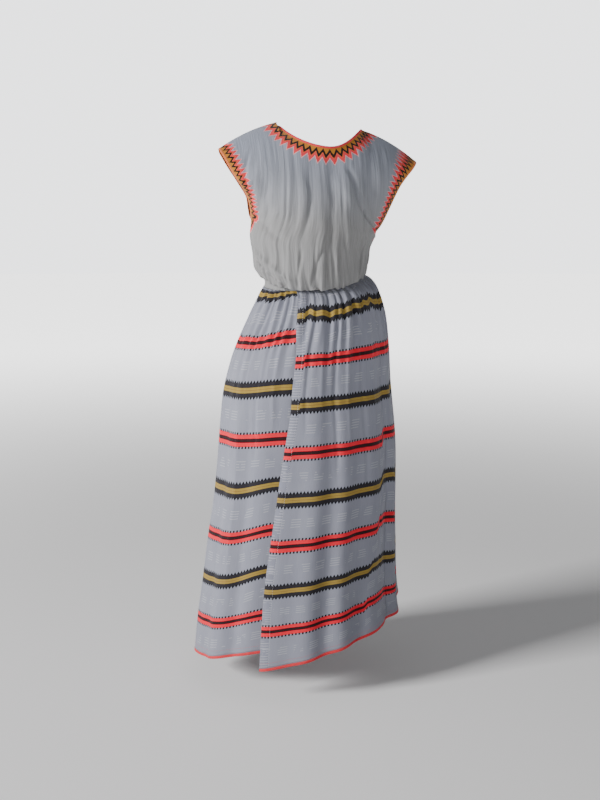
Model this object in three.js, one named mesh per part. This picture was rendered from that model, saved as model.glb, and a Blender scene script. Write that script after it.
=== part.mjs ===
// Long cotton dress: a bloused gauze bodice with cap sleeves cut in one, and a full skirt that is
// gathered on to a waist casing and laps over itself left of the middle of the front.
// Millimetres, +Z up, the front looks along -Y. The origin is half way between the two points
// where the neckline meets the shoulder seams.
import * as THREE from 'three';

// Cloth walls and seams
const SKIRT_WALL = 1.4;
const GAUZE_WALL = 1.2;
const SEAM_GAP = 0.3;
const NECK_BINDING_WIDTH = 4.2;
const CUFF_BINDING_WIDTH = 4.2;
const HEM_BINDING_WIDTH = 6;
const BINDING_PROUD = 0.5;
const BINDING_GAP = 0.4;

// Neck and shoulders
const NECK_HALF_WIDTH = 118;
const NECK_SHARE = 4 / 9;
const NECK_POINT_RISE = 7;
const NECK_FRONT = { depth: 85, drop: 61, curveLeft: 2.2, curveRight: 3.6 };
const NECK_BACK = { depth: 74, drop: 68, curveLeft: 2.2, curveRight: 2.2 };
const NECK_PLAN_CURVE = 1.5;
const NECK_FLAT_END = 0.25;
const SHOULDER_FALL = { left: [35, 32], right: [40, 35] };

// Cuffs: half of the open width, and how far the back edge lies nearer to the body
const CUFF_HALF_OPENING = 38;
const CUFF_BACK_INSET = 13;

// Waist casing; its middle is drawn in
const CASING_HEIGHT = 20;
const CASING_CINCH = 1.5;
const CASING_WALL = 2.4;
const CASING_COLUMNS = 84;

// Gathers
const SKIRT_GATHERS = 42;
const BODICE_GATHERS = 14;
const BODICE_GATHER_DEPTH = 2.2;

// Skirt panels: the seams lie in the troughs between gathers, counted from the middle of the front
// to the right; angles are counted the same way
const RIGHT_SEAM_GATHER = 5.5;
const LEFT_SEAM_GATHER = -13.5;
const UNDERLAP_ANGLE = 17;
const HEM_LINE_START = 500;
const HEM_DROP = 1024;
const EDGE_ROLL_WIDTH = 24;

// Skirt sections. drop: down the cloth from the casing; z, centreX, halfWidth, front and back: the
// middle and the half sizes of the ring; slope: rise towards the right; dip: sag of the front;
// gather and fold: depth of the gathers and share of the long folds; edge: angle of the free edge;
// roll: how far that edge turns in; inset: how far the lower layer lies inside the upper one.
const SKIRT_SECTIONS = [
  { drop: 0, z: -390, centreX: -14.5, halfWidth: 134, front: 96, back: 86, slope: 0.132, dip: 25,
    gather: 1.2, fold: 0, edge: -31, roll: 0.3, inset: 2.4 },
  { drop: 20, z: -404, centreX: -9, halfWidth: 147, front: 107, back: 98, slope: 0.128, dip: 18,
    gather: 2.6, fold: 0, edge: -30.5, roll: 1, inset: 7.5 },
  { drop: 45, z: -428, centreX: -6, halfWidth: 161, front: 125, back: 115, slope: 0.12, dip: 9,
    gather: 3, fold: 0.05, edge: -30, roll: 2.5, inset: 12 },
  { drop: 80, z: -468, centreX: -8.5, halfWidth: 178, front: 146, back: 134, slope: 0.113, dip: 0,
    gather: 2.8, fold: 0.15, edge: -29, roll: 5, inset: 17 },
  { drop: 200, z: -587, centreX: -23, halfWidth: 213, front: 169, back: 160, slope: 0.084, dip: 0,
    gather: 0, fold: 0.4, edge: -23, roll: 9, inset: 20 },
  { drop: 320, z: -701, centreX: -30, halfWidth: 228, front: 180, back: 176, slope: 0.056, dip: 0,
    gather: 0, fold: 0.55, edge: -23.5, roll: 10, inset: 24 },
  { drop: 440, z: -821, centreX: -29, halfWidth: 239, front: 192, back: 188, slope: 0.055, dip: 0,
    gather: 0, fold: 0.65, edge: -28, roll: 10, inset: 28 },
  { drop: 560, z: -939, centreX: -32, halfWidth: 247, front: 200, back: 197, slope: 0.074, dip: 0,
    gather: 0, fold: 0.75, edge: -31.5, roll: 10, inset: 31 },
  { drop: 680, z: -1056, centreX: -41, halfWidth: 256, front: 207, back: 206, slope: 0.096, dip: 0,
    gather: 0, fold: 0.85, edge: -33, roll: 10, inset: 34 },
  { drop: 800, z: -1170, centreX: -48, halfWidth: 265, front: 212, back: 214, slope: 0.126, dip: 0,
    gather: 0, fold: 0.95, edge: -34.2, roll: 9, inset: 36 },
  { drop: 920, z: -1268, centreX: -54, halfWidth: 274, front: 222, back: 224, slope: 0.158, dip: 0,
    gather: 0, fold: 1, edge: -34, roll: 8, inset: 38 },
  { drop: 1024, z: -1351, centreX: -56, halfWidth: 283, front: 235, back: 232, slope: 0.235, dip: 0,
    gather: 0, fold: 1, edge: -34, roll: 6, inset: 40 },
];

// Hem line: how much longer or shorter the cloth is at the hem than the last section
const OUTER_HEM = [
  { angle: -40, longer: -3 },
  { angle: 0, longer: -5 },
  { angle: 20, longer: -9 },
  { angle: 36, longer: -14 },
  { angle: 62, longer: -17 },
  { angle: 78, longer: -27 },
  { angle: 150, longer: -34 },
  { angle: 200, longer: -28 },
  { angle: 244, longer: -14 },
];
const UNDER_HEM = [
  { angle: -116, longer: -14 },
  { angle: -95, longer: -18 },
  { angle: -80, longer: -22 },
  { angle: -60, longer: -34 },
  { angle: -40, longer: -42 },
  { angle: 0, longer: -42 },
];

// Long folds of the skirt. angle: where the fold hangs; spread: its half width in degrees; height:
// how far it stands out at the hem, less than 0 for a trough; start: the drop where it begins.
const SKIRT_FOLDS = [
  { angle: -160, spread: 8, height: 12, start: 40 },
  { angle: -143, spread: 7, height: -11, start: 90 },
  { angle: -129, spread: 8, height: 10, start: 30 },
  { angle: -114, spread: 6, height: -12, start: 60 },
  { angle: -98, spread: 7, height: 8, start: 50 },
  { angle: -80, spread: 6, height: -9, start: 120 },
  { angle: -57, spread: 5, height: -7, start: 60 },
  { angle: -44, spread: 8, height: 6, start: 160 },
  { angle: -17, spread: 7, height: -4, start: 30 },
  { angle: -8, spread: 8, height: 5, start: 200 },
  { angle: 2, spread: 6, height: -8, start: 20 },
  { angle: 11, spread: 6, height: 5, start: 260 },
  { angle: 21, spread: 5, height: -5, start: 20 },
  { angle: 33, spread: 7, height: 7, start: 80 },
  { angle: 48, spread: 4.5, height: -9, start: 60 },
  { angle: 57, spread: 6, height: 8, start: 40 },
  { angle: 74, spread: 7, height: -9, start: 100 },
  { angle: 92, spread: 8, height: 11, start: 50 },
  { angle: 110, spread: 7, height: -11, start: 30 },
  { angle: 126, spread: 7, height: 9, start: 120 },
  { angle: 143, spread: 6, height: -10, start: 60 },
  { angle: 158, spread: 8, height: 12, start: 30 },
  { angle: 179, spread: 8, height: -11, start: 70 },
];

// Bodice rings between the casing and the underarm. run: distance up the cloth; left and right: the
// ends of the section at the side seams; front and back: depth; sagFront and sagBack: how far the
// middle hangs below the ends; gather: share of the gathers' depth.
const BODICE_RINGS = [
  { run: 12, left: [-150, 0, -382], right: [121, 0, -356], front: 106, back: 94,
    sagFront: 34, sagBack: 5, gather: 0.4 },
  { run: 24, left: [-155, 0, -384], right: [125, 0, -361], front: 112, back: 97,
    sagFront: 46, sagBack: 14, gather: 1 },
  { run: 42, left: [-162, 1, -375], right: [127, 0, -354], front: 119, back: 102,
    sagFront: 42, sagBack: 15, gather: 1 },
  { run: 68, left: [-172, 4, -358], right: [131, 0, -338], front: 124, back: 105,
    sagFront: 30, sagBack: 10, gather: 0.8 },
  { run: 112, left: [-175, 12, -323], right: [134, 0, -312], front: 124, back: 103,
    sagFront: 14, sagBack: 4, gather: 0.5 },
  { run: 158, left: [-181, 22, -281], right: [145, 0, -292], front: 122, back: 101,
    sagFront: 4, sagBack: 0, gather: 0.3 },
  { run: 200, left: [-176, 30, -243], right: [154, 0, -276], front: 120, back: 99,
    sagFront: 0, sagBack: 0, gather: 0.15 },
];

// Cuff mid lines from the underarm to the shoulder tip
const CUFF_LEFT = [
  { along: 0, x: -176, y: 30, z: -243 },
  { along: 0.25, x: -187, y: 37, z: -198 },
  { along: 0.45, x: -198, y: 20, z: -163 },
  { along: 0.6, x: -228, y: 6, z: -134 },
  { along: 0.8, x: -248, y: 0, z: -96 },
  { along: 1, x: -264, y: 0, z: -60 },
];
const CUFF_RIGHT = [
  { along: 0, x: 154, y: 0, z: -276 },
  { along: 0.25, x: 178, y: 0, z: -222 },
  { along: 0.5, x: 202, y: 0, z: -166 },
  { along: 0.75, x: 242, y: 0, z: -112 },
  { along: 1, x: 265, y: 0, z: -82 },
];

const TIP_LEFT = CUFF_LEFT[CUFF_LEFT.length - 1];
const TIP_RIGHT = CUFF_RIGHT[CUFF_RIGHT.length - 1];

// Bodice sections between the underarm and the shoulder. up: share of the way; front and back: depth
// in the middle; roundLeft and roundRight: share of an oval section; lift, lean and spread: share of
// the height, of the place in depth and of the place across that the shoulder and neckline have there;
// raise: how much higher the cloth lies between the cuffs than at them.
const YOKE_RUN = 220;
const YOKE_POWER = 2.4;
const RAISE_FADE = { from: 0.78, to: 0.98 };
const YOKE_SECTIONS = [
  { up: 0.2, front: 119, back: 98, roundLeft: 0.85, roundRight: 0.5,
    lift: 0, lean: 0, spread: 0, gather: 0.1, raise: 15 },
  { up: 0.38, front: 113, back: 95, roundLeft: 0.6, roundRight: 0.2,
    lift: 0.08, lean: 0, spread: 0.1, gather: 0.05, raise: 9 },
  { up: 0.55, front: 104, back: 91, roundLeft: 0.35, roundRight: 0.1,
    lift: 0.25, lean: 0.06, spread: 0.3, gather: 0, raise: -3 },
  { up: 0.7, front: 97, back: 87, roundLeft: 0.15, roundRight: 0.05,
    lift: 0.45, lean: 0.2, spread: 0.55, gather: 0, raise: -10 },
  { up: 0.85, front: 90, back: 81, roundLeft: 0.05, roundRight: 0.05,
    lift: 0.7, lean: 0.45, spread: 0.82, gather: 0, raise: -8 },
];

// Creases of the bodice on the front and the back. s: across, from -1 at the left to 1 at the
// right; run: up the cloth; width: half width; height: less than 0 for a trough.
const FRONT_CREASES = [
  { fromS: 0.36, fromRun: 330, toS: 0.9, toRun: 205, width: 9, height: -5 },
  { fromS: 0.5, fromRun: 345, toS: 0.97, toRun: 222, width: 10, height: 5 },
  { fromS: -0.62, fromRun: 320, toS: -0.93, toRun: 190, width: 9, height: -4 },
  { fromS: -0.5, fromRun: 260, toS: -0.72, toRun: 90, width: 10, height: 4 },
  { fromS: -0.12, fromRun: 380, toS: -0.3, toRun: 80, width: 9, height: -3.5 },
  { fromS: 0.02, fromRun: 385, toS: 0.04, toRun: 100, width: 8, height: -4 },
  { fromS: 0.16, fromRun: 370, toS: 0.3, toRun: 70, width: 9, height: 3 },
  { fromS: 0.5, fromRun: 200, toS: 0.42, toRun: 50, width: 9, height: -4 },
];
const BACK_CREASES = [
  { fromS: 0.5, fromRun: 340, toS: 0.92, toRun: 200, width: 10, height: -5 },
  { fromS: -0.5, fromRun: 340, toS: -0.92, toRun: 195, width: 10, height: -5 },
  { fromS: 0.1, fromRun: 370, toS: 0.2, toRun: 70, width: 10, height: -4 },
  { fromS: -0.14, fromRun: 360, toS: -0.2, toRun: 60, width: 9, height: 4 },
  { fromS: -0.4, fromRun: 230, toS: -0.55, toRun: 60, width: 9, height: -4 },
  { fromS: 0.5, fromRun: 220, toS: 0.45, toRun: 60, width: 9, height: 4 },
];
const CREASE_WIDTH_SCALE = 180;

// Mesh rows and columns
const SKIRT_GATHER_ROWS = [0, 20, 45, 80, 120, 165];
const SKIRT_FOLD_ROWS = [265, 375, 490, 605, 720, 830, 930];
const STEPS_PER_GATHER = 4;
const SKIRT_FOLD_STEP = 3.8;
const BODICE_RING_RUNS = [0, 12, 24, 42, 68, 112];
const BODICE_YOKE_RUNS = [155, 200, 228, 258, 290, 322, 352, 378, 402, 420];
const BODICE_LOWER_COLUMNS = 56;
const BODICE_UPPER_COLUMNS = 36;

const RADIANS = Math.PI / 180;
const CASING_TOP_RUN = 0;
const ARM_RUN = 200;
const TOP_RUN = ARM_RUN + YOKE_RUN;
const TINY = 1e-6;
const FOLD_GROWTH = 260;
const ANGLE_STEP = 0.2;
const INVERSE_ROUNDS = 40;
const INVERSE_SHARE = 0.7;
const UNDER_INSET_START = -80;
const CREASE_FADE = 40;
const SIDE_PUSH = 0.8;

const mix = (a, b, share) => a + (b - a) * share;

function smoothstep(low, high, value) {
  const share = Math.min(1, Math.max(0, (value - low) / (high - low)));
  return share * share * (3 - 2 * share);
}

// A curve through the points that never swings past them
function monotoneCurve(xs, ys) {
  const last = xs.length - 1;
  const secants = [];
  for (let i = 0; i < last; i++) secants.push((ys[i + 1] - ys[i]) / (xs[i + 1] - xs[i]));
  const slopes = new Array(last + 1).fill(0);
  slopes[0] = secants[0];
  slopes[last] = secants[last - 1];
  for (let i = 1; i < last; i++) {
    if (secants[i - 1] * secants[i] <= 0) continue;
    const before = xs[i] - xs[i - 1];
    const after = xs[i + 1] - xs[i];
    const weightBefore = 2 * after + before;
    const weightAfter = after + 2 * before;
    slopes[i] = (weightBefore + weightAfter)
      / (weightBefore / secants[i - 1] + weightAfter / secants[i]);
  }
  return (x) => {
    let i = 0;
    while (i < last - 1 && x > xs[i + 1]) i++;
    const width = xs[i + 1] - xs[i];
    const h = (x - xs[i]) / width;
    const near = (1 + 2 * h) * (1 - h) * (1 - h);
    const far = h * h * (3 - 2 * h);
    return near * ys[i] + far * ys[i + 1]
      + width * h * (1 - h) * ((1 - h) * slopes[i] - h * slopes[i + 1]);
  };
}

function tableCurves(table, key) {
  const curves = {};
  const keys = table.map((row) => row[key]);
  for (const name of Object.keys(table[0])) {
    curves[name] = monotoneCurve(keys, table.map((row) => row[name]));
  }
  return curves;
}

// Skirt

const skirt = tableCurves(SKIRT_SECTIONS, 'drop');

// Angle of a place counted in gathers; the gathers are of uneven width
function gatherAngle(count) {
  const turn = (2 * Math.PI * count) / SKIRT_GATHERS;
  const shift = 0.1 * Math.sin(15 * turn + 1) + 0.18 * Math.sin(6 * turn + 2.2);
  return (360 / SKIRT_GATHERS) * (count + shift);
}

const RIGHT_SEAM_ANGLE = gatherAngle(RIGHT_SEAM_GATHER);
const LEFT_SEAM_ANGLE = gatherAngle(LEFT_SEAM_GATHER);

function gatherCount(angle) {
  let count = (angle / 360) * SKIRT_GATHERS;
  for (let i = 0; i < INVERSE_ROUNDS; i++) {
    count += ((angle - gatherAngle(count)) / 360) * SKIRT_GATHERS * INVERSE_SHARE;
  }
  return count;
}

function gatherWave(angle) {
  const uneven = 0.8 + 0.2 * Math.sin(5 * angle * RADIANS + 2) * Math.cos(11 * angle * RADIANS);
  return uneven * Math.cos(2 * Math.PI * gatherCount(angle));
}

function foldOffset(angle, drop) {
  let offset = 0;
  for (const fold of SKIRT_FOLDS) {
    const apart = ((angle - fold.angle + 540) % 360) - 180;
    const grown = smoothstep(fold.start, fold.start + FOLD_GROWTH, drop);
    offset += fold.height * grown * Math.exp(-((apart / fold.spread) ** 2));
  }
  return offset * skirt.fold(drop);
}

// Point of the skirt's upper layer, moved outwards by offset
function skirtPoint(angle, drop, offset = 0) {
  const phi = angle * RADIANS;
  const out = offset + skirt.gather(drop) * gatherWave(angle) + foldOffset(angle, drop);
  const across = skirt.halfWidth(drop);
  const depth = Math.cos(phi) > 0 ? skirt.front(drop) : skirt.back(drop);
  const sag = skirt.dip(drop) * ((1 + Math.cos(phi)) / 2) ** 2;
  return new THREE.Vector3(
    skirt.centreX(drop) + (across + out) * Math.sin(phi),
    -(depth + out) * Math.cos(phi),
    skirt.z(drop) + skirt.slope(drop) * across * Math.sin(phi) - sag,
  );
}

const outerHem = tableCurves(OUTER_HEM, 'angle');
const underHem = tableCurves(UNDER_HEM, 'angle');

function hemmed(drop, longer) {
  return drop + longer * smoothstep(HEM_LINE_START, HEM_DROP, drop);
}

function overPoint(angle, drop) {
  const reach = (angle - skirt.edge(drop)) * RADIANS * skirt.front(drop);
  const turned = Math.max(0, 1 - reach / EDGE_ROLL_WIDTH);
  const offset = -skirt.roll(drop) * turned * turned;
  return skirtPoint(angle, hemmed(drop, outerHem.longer(angle)), offset);
}

function underPoint(angle, drop) {
  const inside = smoothstep(UNDER_INSET_START, skirt.edge(drop) - 2, angle);
  return skirtPoint(angle, hemmed(drop, underHem.longer(angle)), -skirt.inset(drop) * inside);
}

function backPoint(angle, drop) {
  return skirtPoint(angle, hemmed(drop, outerHem.longer(angle)));
}

// Outward normal of a surface that is given by an angle and a drop
function surfaceNormal(surface, angle, drop) {
  const low = Math.min(drop + 1, HEM_DROP);
  const along = surface(angle + ANGLE_STEP, drop).sub(surface(angle - ANGLE_STEP, drop));
  const down = surface(angle, low).sub(surface(angle, low - 2 < 0 ? 0 : low - 2));
  return down.cross(along).normalize();
}

// Rows from the hem up. Columns in the gathered rows follow the gathers, those below are wider.
function skirtRows(surface, leftAngle, rightAngle) {
  const rows = [];
  const drops = [...SKIRT_GATHER_ROWS, ...SKIRT_FOLD_ROWS, HEM_DROP];
  for (const drop of drops.reverse()) {
    const left = leftAngle(drop);
    const right = rightAngle(drop);
    const fractions = [0];
    if (SKIRT_GATHER_ROWS.includes(drop)) {
      const first = Math.ceil(gatherCount(leftAngle(0)) * STEPS_PER_GATHER + 0.3);
      const final = Math.floor(gatherCount(rightAngle(0)) * STEPS_PER_GATHER - 0.3);
      const span = rightAngle(0) - leftAngle(0);
      for (let i = first; i <= final; i++) {
        fractions.push((gatherAngle(i / STEPS_PER_GATHER) - leftAngle(0)) / span);
      }
    } else {
      const columns = Math.round((rightAngle(0) - leftAngle(0)) / SKIRT_FOLD_STEP);
      for (let i = 1; i < columns; i++) fractions.push(i / columns);
    }
    fractions.push(1);
    const angles = fractions.map((share) => mix(left, right, share));
    rows.push({
      fractions,
      points: angles.map((angle) => surface(angle, drop)),
      normals: angles.map((angle) => surfaceNormal(surface, angle, drop)),
    });
  }
  return rows;
}

// Angle that half the seam gap takes up on the ring at this drop
function gapAngle(drop) {
  return SEAM_GAP / 2 / skirt.front(drop) / RADIANS;
}

// Bodice

const WAIST = SKIRT_SECTIONS[0];
const CASING_Z = WAIST.z + CASING_HEIGHT / 2;
const shoulderNeckZ = { left: NECK_POINT_RISE, right: -NECK_POINT_RISE };

function waistPoint(angle, rise, offset = 0) {
  const phi = angle * RADIANS;
  const depth = Math.cos(phi) > 0 ? WAIST.front : WAIST.back;
  const sag = WAIST.dip * ((1 + Math.cos(phi)) / 2) ** 2;
  return new THREE.Vector3(
    WAIST.centreX + (WAIST.halfWidth + offset) * Math.sin(phi),
    -(depth + offset) * Math.cos(phi),
    CASING_Z + rise + WAIST.slope * WAIST.halfWidth * Math.sin(phi) - sag,
  );
}

function ringPoint(ring, s, side) {
  const phi = (s * Math.PI) / 2;
  const share = (1 + Math.sin(phi)) / 2;
  const depth = side < 0 ? ring.front : ring.back;
  const sag = side < 0 ? ring.sagFront : ring.sagBack;
  const endY = mix(ring.left[1], ring.right[1], share);
  return [
    mix(ring.left[0], ring.right[0], share),
    endY + (side * depth - endY) * Math.cos(phi),
    mix(ring.left[2], ring.right[2], share) - sag * Math.cos(phi),
  ];
}

// Shoulder seams and neckline: the upper end of the front (side -1) or of the back (side 1)
function topPoint(s, side) {
  const hand = s < 0 ? 'left' : 'right';
  const sign = s < 0 ? -1 : 1;
  const part = Math.abs(s);
  if (part > NECK_SHARE - TINY) {
    const u = (part - NECK_SHARE) / (1 - NECK_SHARE);
    const tip = hand === 'left' ? TIP_LEFT : TIP_RIGHT;
    const [first, second] = SHOULDER_FALL[hand];
    return [mix(sign * NECK_HALF_WIDTH, tip.x, u), 0, shoulderNeckZ[hand] - first * u - second * u * u];
  }
  const turn = ((part / NECK_SHARE) * Math.PI) / 2;
  const scoop = side < 0 ? NECK_FRONT : NECK_BACK;
  const curve = s < 0 ? scoop.curveLeft : scoop.curveRight;
  const x = sign * NECK_HALF_WIDTH * Math.sin(turn);
  const c = Math.cos(turn);
  const fall = ((1 + NECK_FLAT_END) * c ** curve) / (c + NECK_FLAT_END);
  return [
    x,
    side * scoop.depth * c ** NECK_PLAN_CURVE,
    -NECK_POINT_RISE * (x / NECK_HALF_WIDTH) - scoop.drop * fall,
  ];
}

const cuffLeft = tableCurves(CUFF_LEFT, 'along');
const cuffRight = tableCurves(CUFF_RIGHT, 'along');

// Edge of a cuff on the front or the back; the opening is an oval that stands on the underarm
function cuffPoint(curves, hand, up, side) {
  const along = (1 - Math.cos(Math.PI * up)) / 2;
  const open = Math.sin(Math.PI * up);
  const inset = side > 0 ? -hand * CUFF_BACK_INSET * open * open : 0;
  return [
    curves.x(along) + inset,
    curves.y(along) + side * CUFF_HALF_OPENING * open,
    curves.z(along),
  ];
}

function yokePoint(section, s, side) {
  const left = cuffPoint(cuffLeft, -1, section.up, side);
  const right = cuffPoint(cuffRight, 1, section.up, side);
  const phi = (s * Math.PI) / 2;
  const round = mix(section.roundLeft, section.roundRight, smoothstep(-0.4, 0.4, s));
  const place = mix(s, Math.sin(phi), round);
  const share = (1 + place) / 2;
  const middle = side < 0 ? section.front : section.back;
  const bulge = mix(1 - Math.abs(s) ** YOKE_POWER, Math.cos(phi), round);
  const endY = mix(left[1], right[1], share);
  const top = topPoint(s, side);
  const tipLine = mix(TIP_LEFT.z, TIP_RIGHT.z, share);
  const y = endY + (side * middle - endY) * bulge;
  const inner = 1 - s ** 8;
  const raised = section.raise * (1 - smoothstep(RAISE_FADE.from, RAISE_FADE.to, Math.abs(s)));
  return [
    mix(mix(left[0], right[0], share), top[0], section.spread * inner),
    mix(y, top[1], section.lean * inner),
    mix(left[2], right[2], share) + section.lift * (top[2] - tipLine) * inner + raised,
  ];
}

// The bodice's curve up the cloth at one place across it
function bodiceCurve(s, side) {
  const waist = waistPoint(side < 0 ? s * 90 : 180 - s * 90, CASING_HEIGHT / 2);
  const runs = [CASING_TOP_RUN];
  const points = [waist.toArray()];
  for (const ring of BODICE_RINGS) {
    runs.push(ring.run);
    points.push(ringPoint(ring, s, side));
  }
  for (const section of YOKE_SECTIONS) {
    runs.push(ARM_RUN + YOKE_RUN * section.up);
    points.push(yokePoint(section, s, side));
  }
  const top = topPoint(s, side);
  const before = points[points.length - 1];
  const overShoulder = smoothstep(NECK_SHARE - 0.12, NECK_SHARE, Math.abs(s));
  runs.push(TOP_RUN);
  points.push(top);
  runs.push(2 * TOP_RUN - runs[runs.length - 2]);
  points.push([
    2 * top[0] - before[0],
    2 * top[1] - before[1],
    mix(2 * top[2] - before[2], before[2], overShoulder),
  ]);
  const axes = [0, 1, 2].map((axis) => monotoneCurve(runs, points.map((point) => point[axis])));
  return (run) => new THREE.Vector3(...axes.map((curve) => curve(run)));
}

const gatherShare = monotoneCurve(
  [CASING_TOP_RUN, ...BODICE_RINGS.map((ring) => ring.run),
    ...YOKE_SECTIONS.map((section) => ARM_RUN + YOKE_RUN * section.up)],
  [0, ...BODICE_RINGS.map((ring) => ring.gather), ...YOKE_SECTIONS.map((section) => section.gather)],
);

function creaseOffset(creases, s, run) {
  let offset = 0;
  for (const crease of creases) {
    const spanS = (crease.toS - crease.fromS) * CREASE_WIDTH_SCALE;
    const spanRun = crease.toRun - crease.fromRun;
    const s0 = (s - crease.fromS) * CREASE_WIDTH_SCALE;
    const run0 = run - crease.fromRun;
    const length = Math.hypot(spanS, spanRun);
    const along = (s0 * spanS + run0 * spanRun) / length / length;
    const apart = Math.abs(s0 * spanRun - run0 * spanS) / length;
    const ends = smoothstep(-0.1, 0.25, along) * (1 - smoothstep(0.75, 1.1, along));
    offset += crease.height * ends * Math.exp(-((apart / crease.width) ** 2));
  }
  return offset;
}

function bodiceOffset(s, run, side) {
  const inner = 1 - s ** 8;
  const open = 1 - smoothstep(TOP_RUN - CREASE_FADE, TOP_RUN, run);
  const wave = Math.cos(Math.PI * BODICE_GATHERS * (s + 0.03 * Math.sin(7 * s + 1)));
  const gather = run > ARM_RUN + YOKE_RUN * 0.55 ? 0 : BODICE_GATHER_DEPTH * gatherShare(run) * wave;
  const creases = side < 0 ? FRONT_CREASES : BACK_CREASES;
  return inner * open * (gather + creaseOffset(creases, s, run));
}

// Rows of one bodice panel from the casing up, seen from outside: the front runs left to right
function bodiceRows(side) {
  const rows = [];
  for (const run of [...BODICE_RING_RUNS, ...BODICE_YOKE_RUNS]) {
    const columns = BODICE_RING_RUNS.includes(run) ? BODICE_LOWER_COLUMNS : BODICE_UPPER_COLUMNS;
    const fractions = [];
    const points = [];
    const places = [];
    for (let i = 0; i <= columns; i++) {
      const s = -side * (2 * (i / columns) - 1);
      places.push(s);
      fractions.push(i / columns);
      const point = bodiceCurve(s, side)(run);
      const phi = (s * Math.PI) / 2;
      const out = bodiceOffset(s, run, side);
      point.x += out * Math.sin(phi) * SIDE_PUSH;
      point.y += side * (out * Math.cos(phi * SIDE_PUSH) + SEAM_GAP / 2);
      if (run === CASING_TOP_RUN) point.z += SEAM_GAP;
      points.push(point);
    }
    rows.push({ run, fractions, points, places });
  }
  return rows;
}

// Mesh work

// Triangles between a lower and an upper row; the rows may have different numbers of points
function stitch(lower, upper, triangle) {
  let i = 0;
  let j = 0;
  while (i < lower.fractions.length - 1 || j < upper.fractions.length - 1) {
    const nextLower = i < lower.fractions.length - 1 ? lower.fractions[i + 1] : Infinity;
    const nextUpper = j < upper.fractions.length - 1 ? upper.fractions[j + 1] : Infinity;
    if (nextLower <= nextUpper) {
      triangle(lower.first + i, lower.first + i + 1, upper.first + j);
      i++;
    } else {
      triangle(lower.first + i, upper.first + j + 1, upper.first + j);
      j++;
    }
  }
}

function averagedNormals(points, triangles) {
  const normals = points.map(() => new THREE.Vector3());
  for (const [a, b, c] of triangles) {
    const face = points[b].clone().sub(points[a]).cross(points[c].clone().sub(points[a]));
    for (const corner of [a, b, c]) normals[corner].add(face);
  }
  return normals.map((normal) => normal.normalize());
}

function geometryOf(points, triangles) {
  const geometry = new THREE.BufferGeometry();
  const values = new Float32Array(points.flatMap((point) => point.toArray()));
  geometry.setAttribute('position', new THREE.BufferAttribute(values, 3));
  geometry.setIndex(triangles.flat());
  geometry.computeVertexNormals();
  return geometry;
}

// Closed wall of cloth from rows of outer points, lowest row first, left to right from outside
function clothWall(rows, wall, adjustNormal = null) {
  const outer = [];
  for (const row of rows) {
    row.first = outer.length;
    outer.push(...row.points);
  }
  const skin = [];
  for (let r = 0; r < rows.length - 1; r++) {
    stitch(rows[r], rows[r + 1], (a, b, c) => skin.push([a, b, c]));
  }
  const normals = rows[0].normals ? rows.flatMap((row) => row.normals) : averagedNormals(outer, skin);
  if (adjustNormal) {
    rows.forEach((row) => row.points.forEach((point, i) => adjustNormal(row, i, normals[row.first + i])));
  }
  const count = outer.length;
  const inner = outer.map((point, i) => point.clone().addScaledVector(normals[i], -wall));
  const triangles = [...skin, ...skin.map(([a, b, c]) => [a + count, c + count, b + count])];
  const band = (a, b) => triangles.push([a, a + count, b + count], [a, b + count, b]);
  const turnedBand = (a, b) => triangles.push([a, a + count, b], [a + count, b + count, b]);
  const lowest = rows[0];
  const highest = rows[rows.length - 1];
  for (let i = 0; i < lowest.points.length - 1; i++) band(lowest.first + i, lowest.first + i + 1);
  for (let i = highest.points.length - 1; i > 0; i--) band(highest.first + i, highest.first + i - 1);
  for (let r = 0; r < rows.length - 1; r++) {
    band(rows[r + 1].first, rows[r].first);
    const below = rows[r].first + rows[r].points.length - 1;
    const above = rows[r + 1].first + rows[r + 1].points.length - 1;
    turnedBand(below, above);
  }
  return { geometry: geometryOf([...outer, ...inner], triangles), normals };
}

// Solid through closed sections of the same number of corners; a ring where closed is true
function sectionSolid(sections, closed) {
  const corners = sections[0].length;
  const points = sections.flat();
  const triangles = [];
  const lengths = closed ? sections.length : sections.length - 1;
  for (let i = 0; i < lengths; i++) {
    const next = (i + 1) % sections.length;
    for (let k = 0; k < corners; k++) {
      const a = i * corners + k;
      const b = i * corners + ((k + 1) % corners);
      const c = next * corners + ((k + 1) % corners);
      const d = next * corners + k;
      triangles.push([a, b, c], [a, c, d]);
    }
  }
  if (!closed) {
    const end = (sections.length - 1) * corners;
    for (let k = 1; k < corners - 1; k++) {
      triangles.push([0, k + 1, k], [end, end + k, end + k + 1]);
    }
  }
  let volume = 0;
  for (const [a, b, c] of triangles) volume += points[a].dot(points[b].clone().cross(points[c]));
  if (volume < 0) triangles.forEach((triangle) => triangle.reverse());
  return geometryOf(points, triangles);
}

// Section of a binding: it carries the panel on past its edge and is a little thicker
function bindingSection(point, normal, beyond, wall, width) {
  const corner = (out, away) => point.clone().addScaledVector(normal, out).addScaledVector(beyond, away);
  return [
    corner(BINDING_PROUD, BINDING_GAP),
    corner(BINDING_PROUD, BINDING_GAP + width),
    corner(-wall - BINDING_PROUD, BINDING_GAP + width),
    corner(-wall - BINDING_PROUD, BINDING_GAP),
  ];
}

// Binding round a closed edge; turn is 1 or -1, for the side of the edge that the binding lies on
function loopBinding(edge, turn, width) {
  const count = edge.length;
  const sections = edge.map(({ point, normal }, i) => {
    const next = edge[(i + 1) % count].point;
    const tangent = next.clone().sub(edge[(i + count - 1) % count].point).normalize();
    const square = normal.clone().addScaledVector(tangent, -normal.dot(tangent)).normalize();
    const beyond = tangent.clone().cross(square).multiplyScalar(turn);
    return bindingSection(point, square, beyond, GAUZE_WALL, width);
  });
  return sectionSolid(sections, true);
}

// Pieces

const dress = new THREE.Group();

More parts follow.
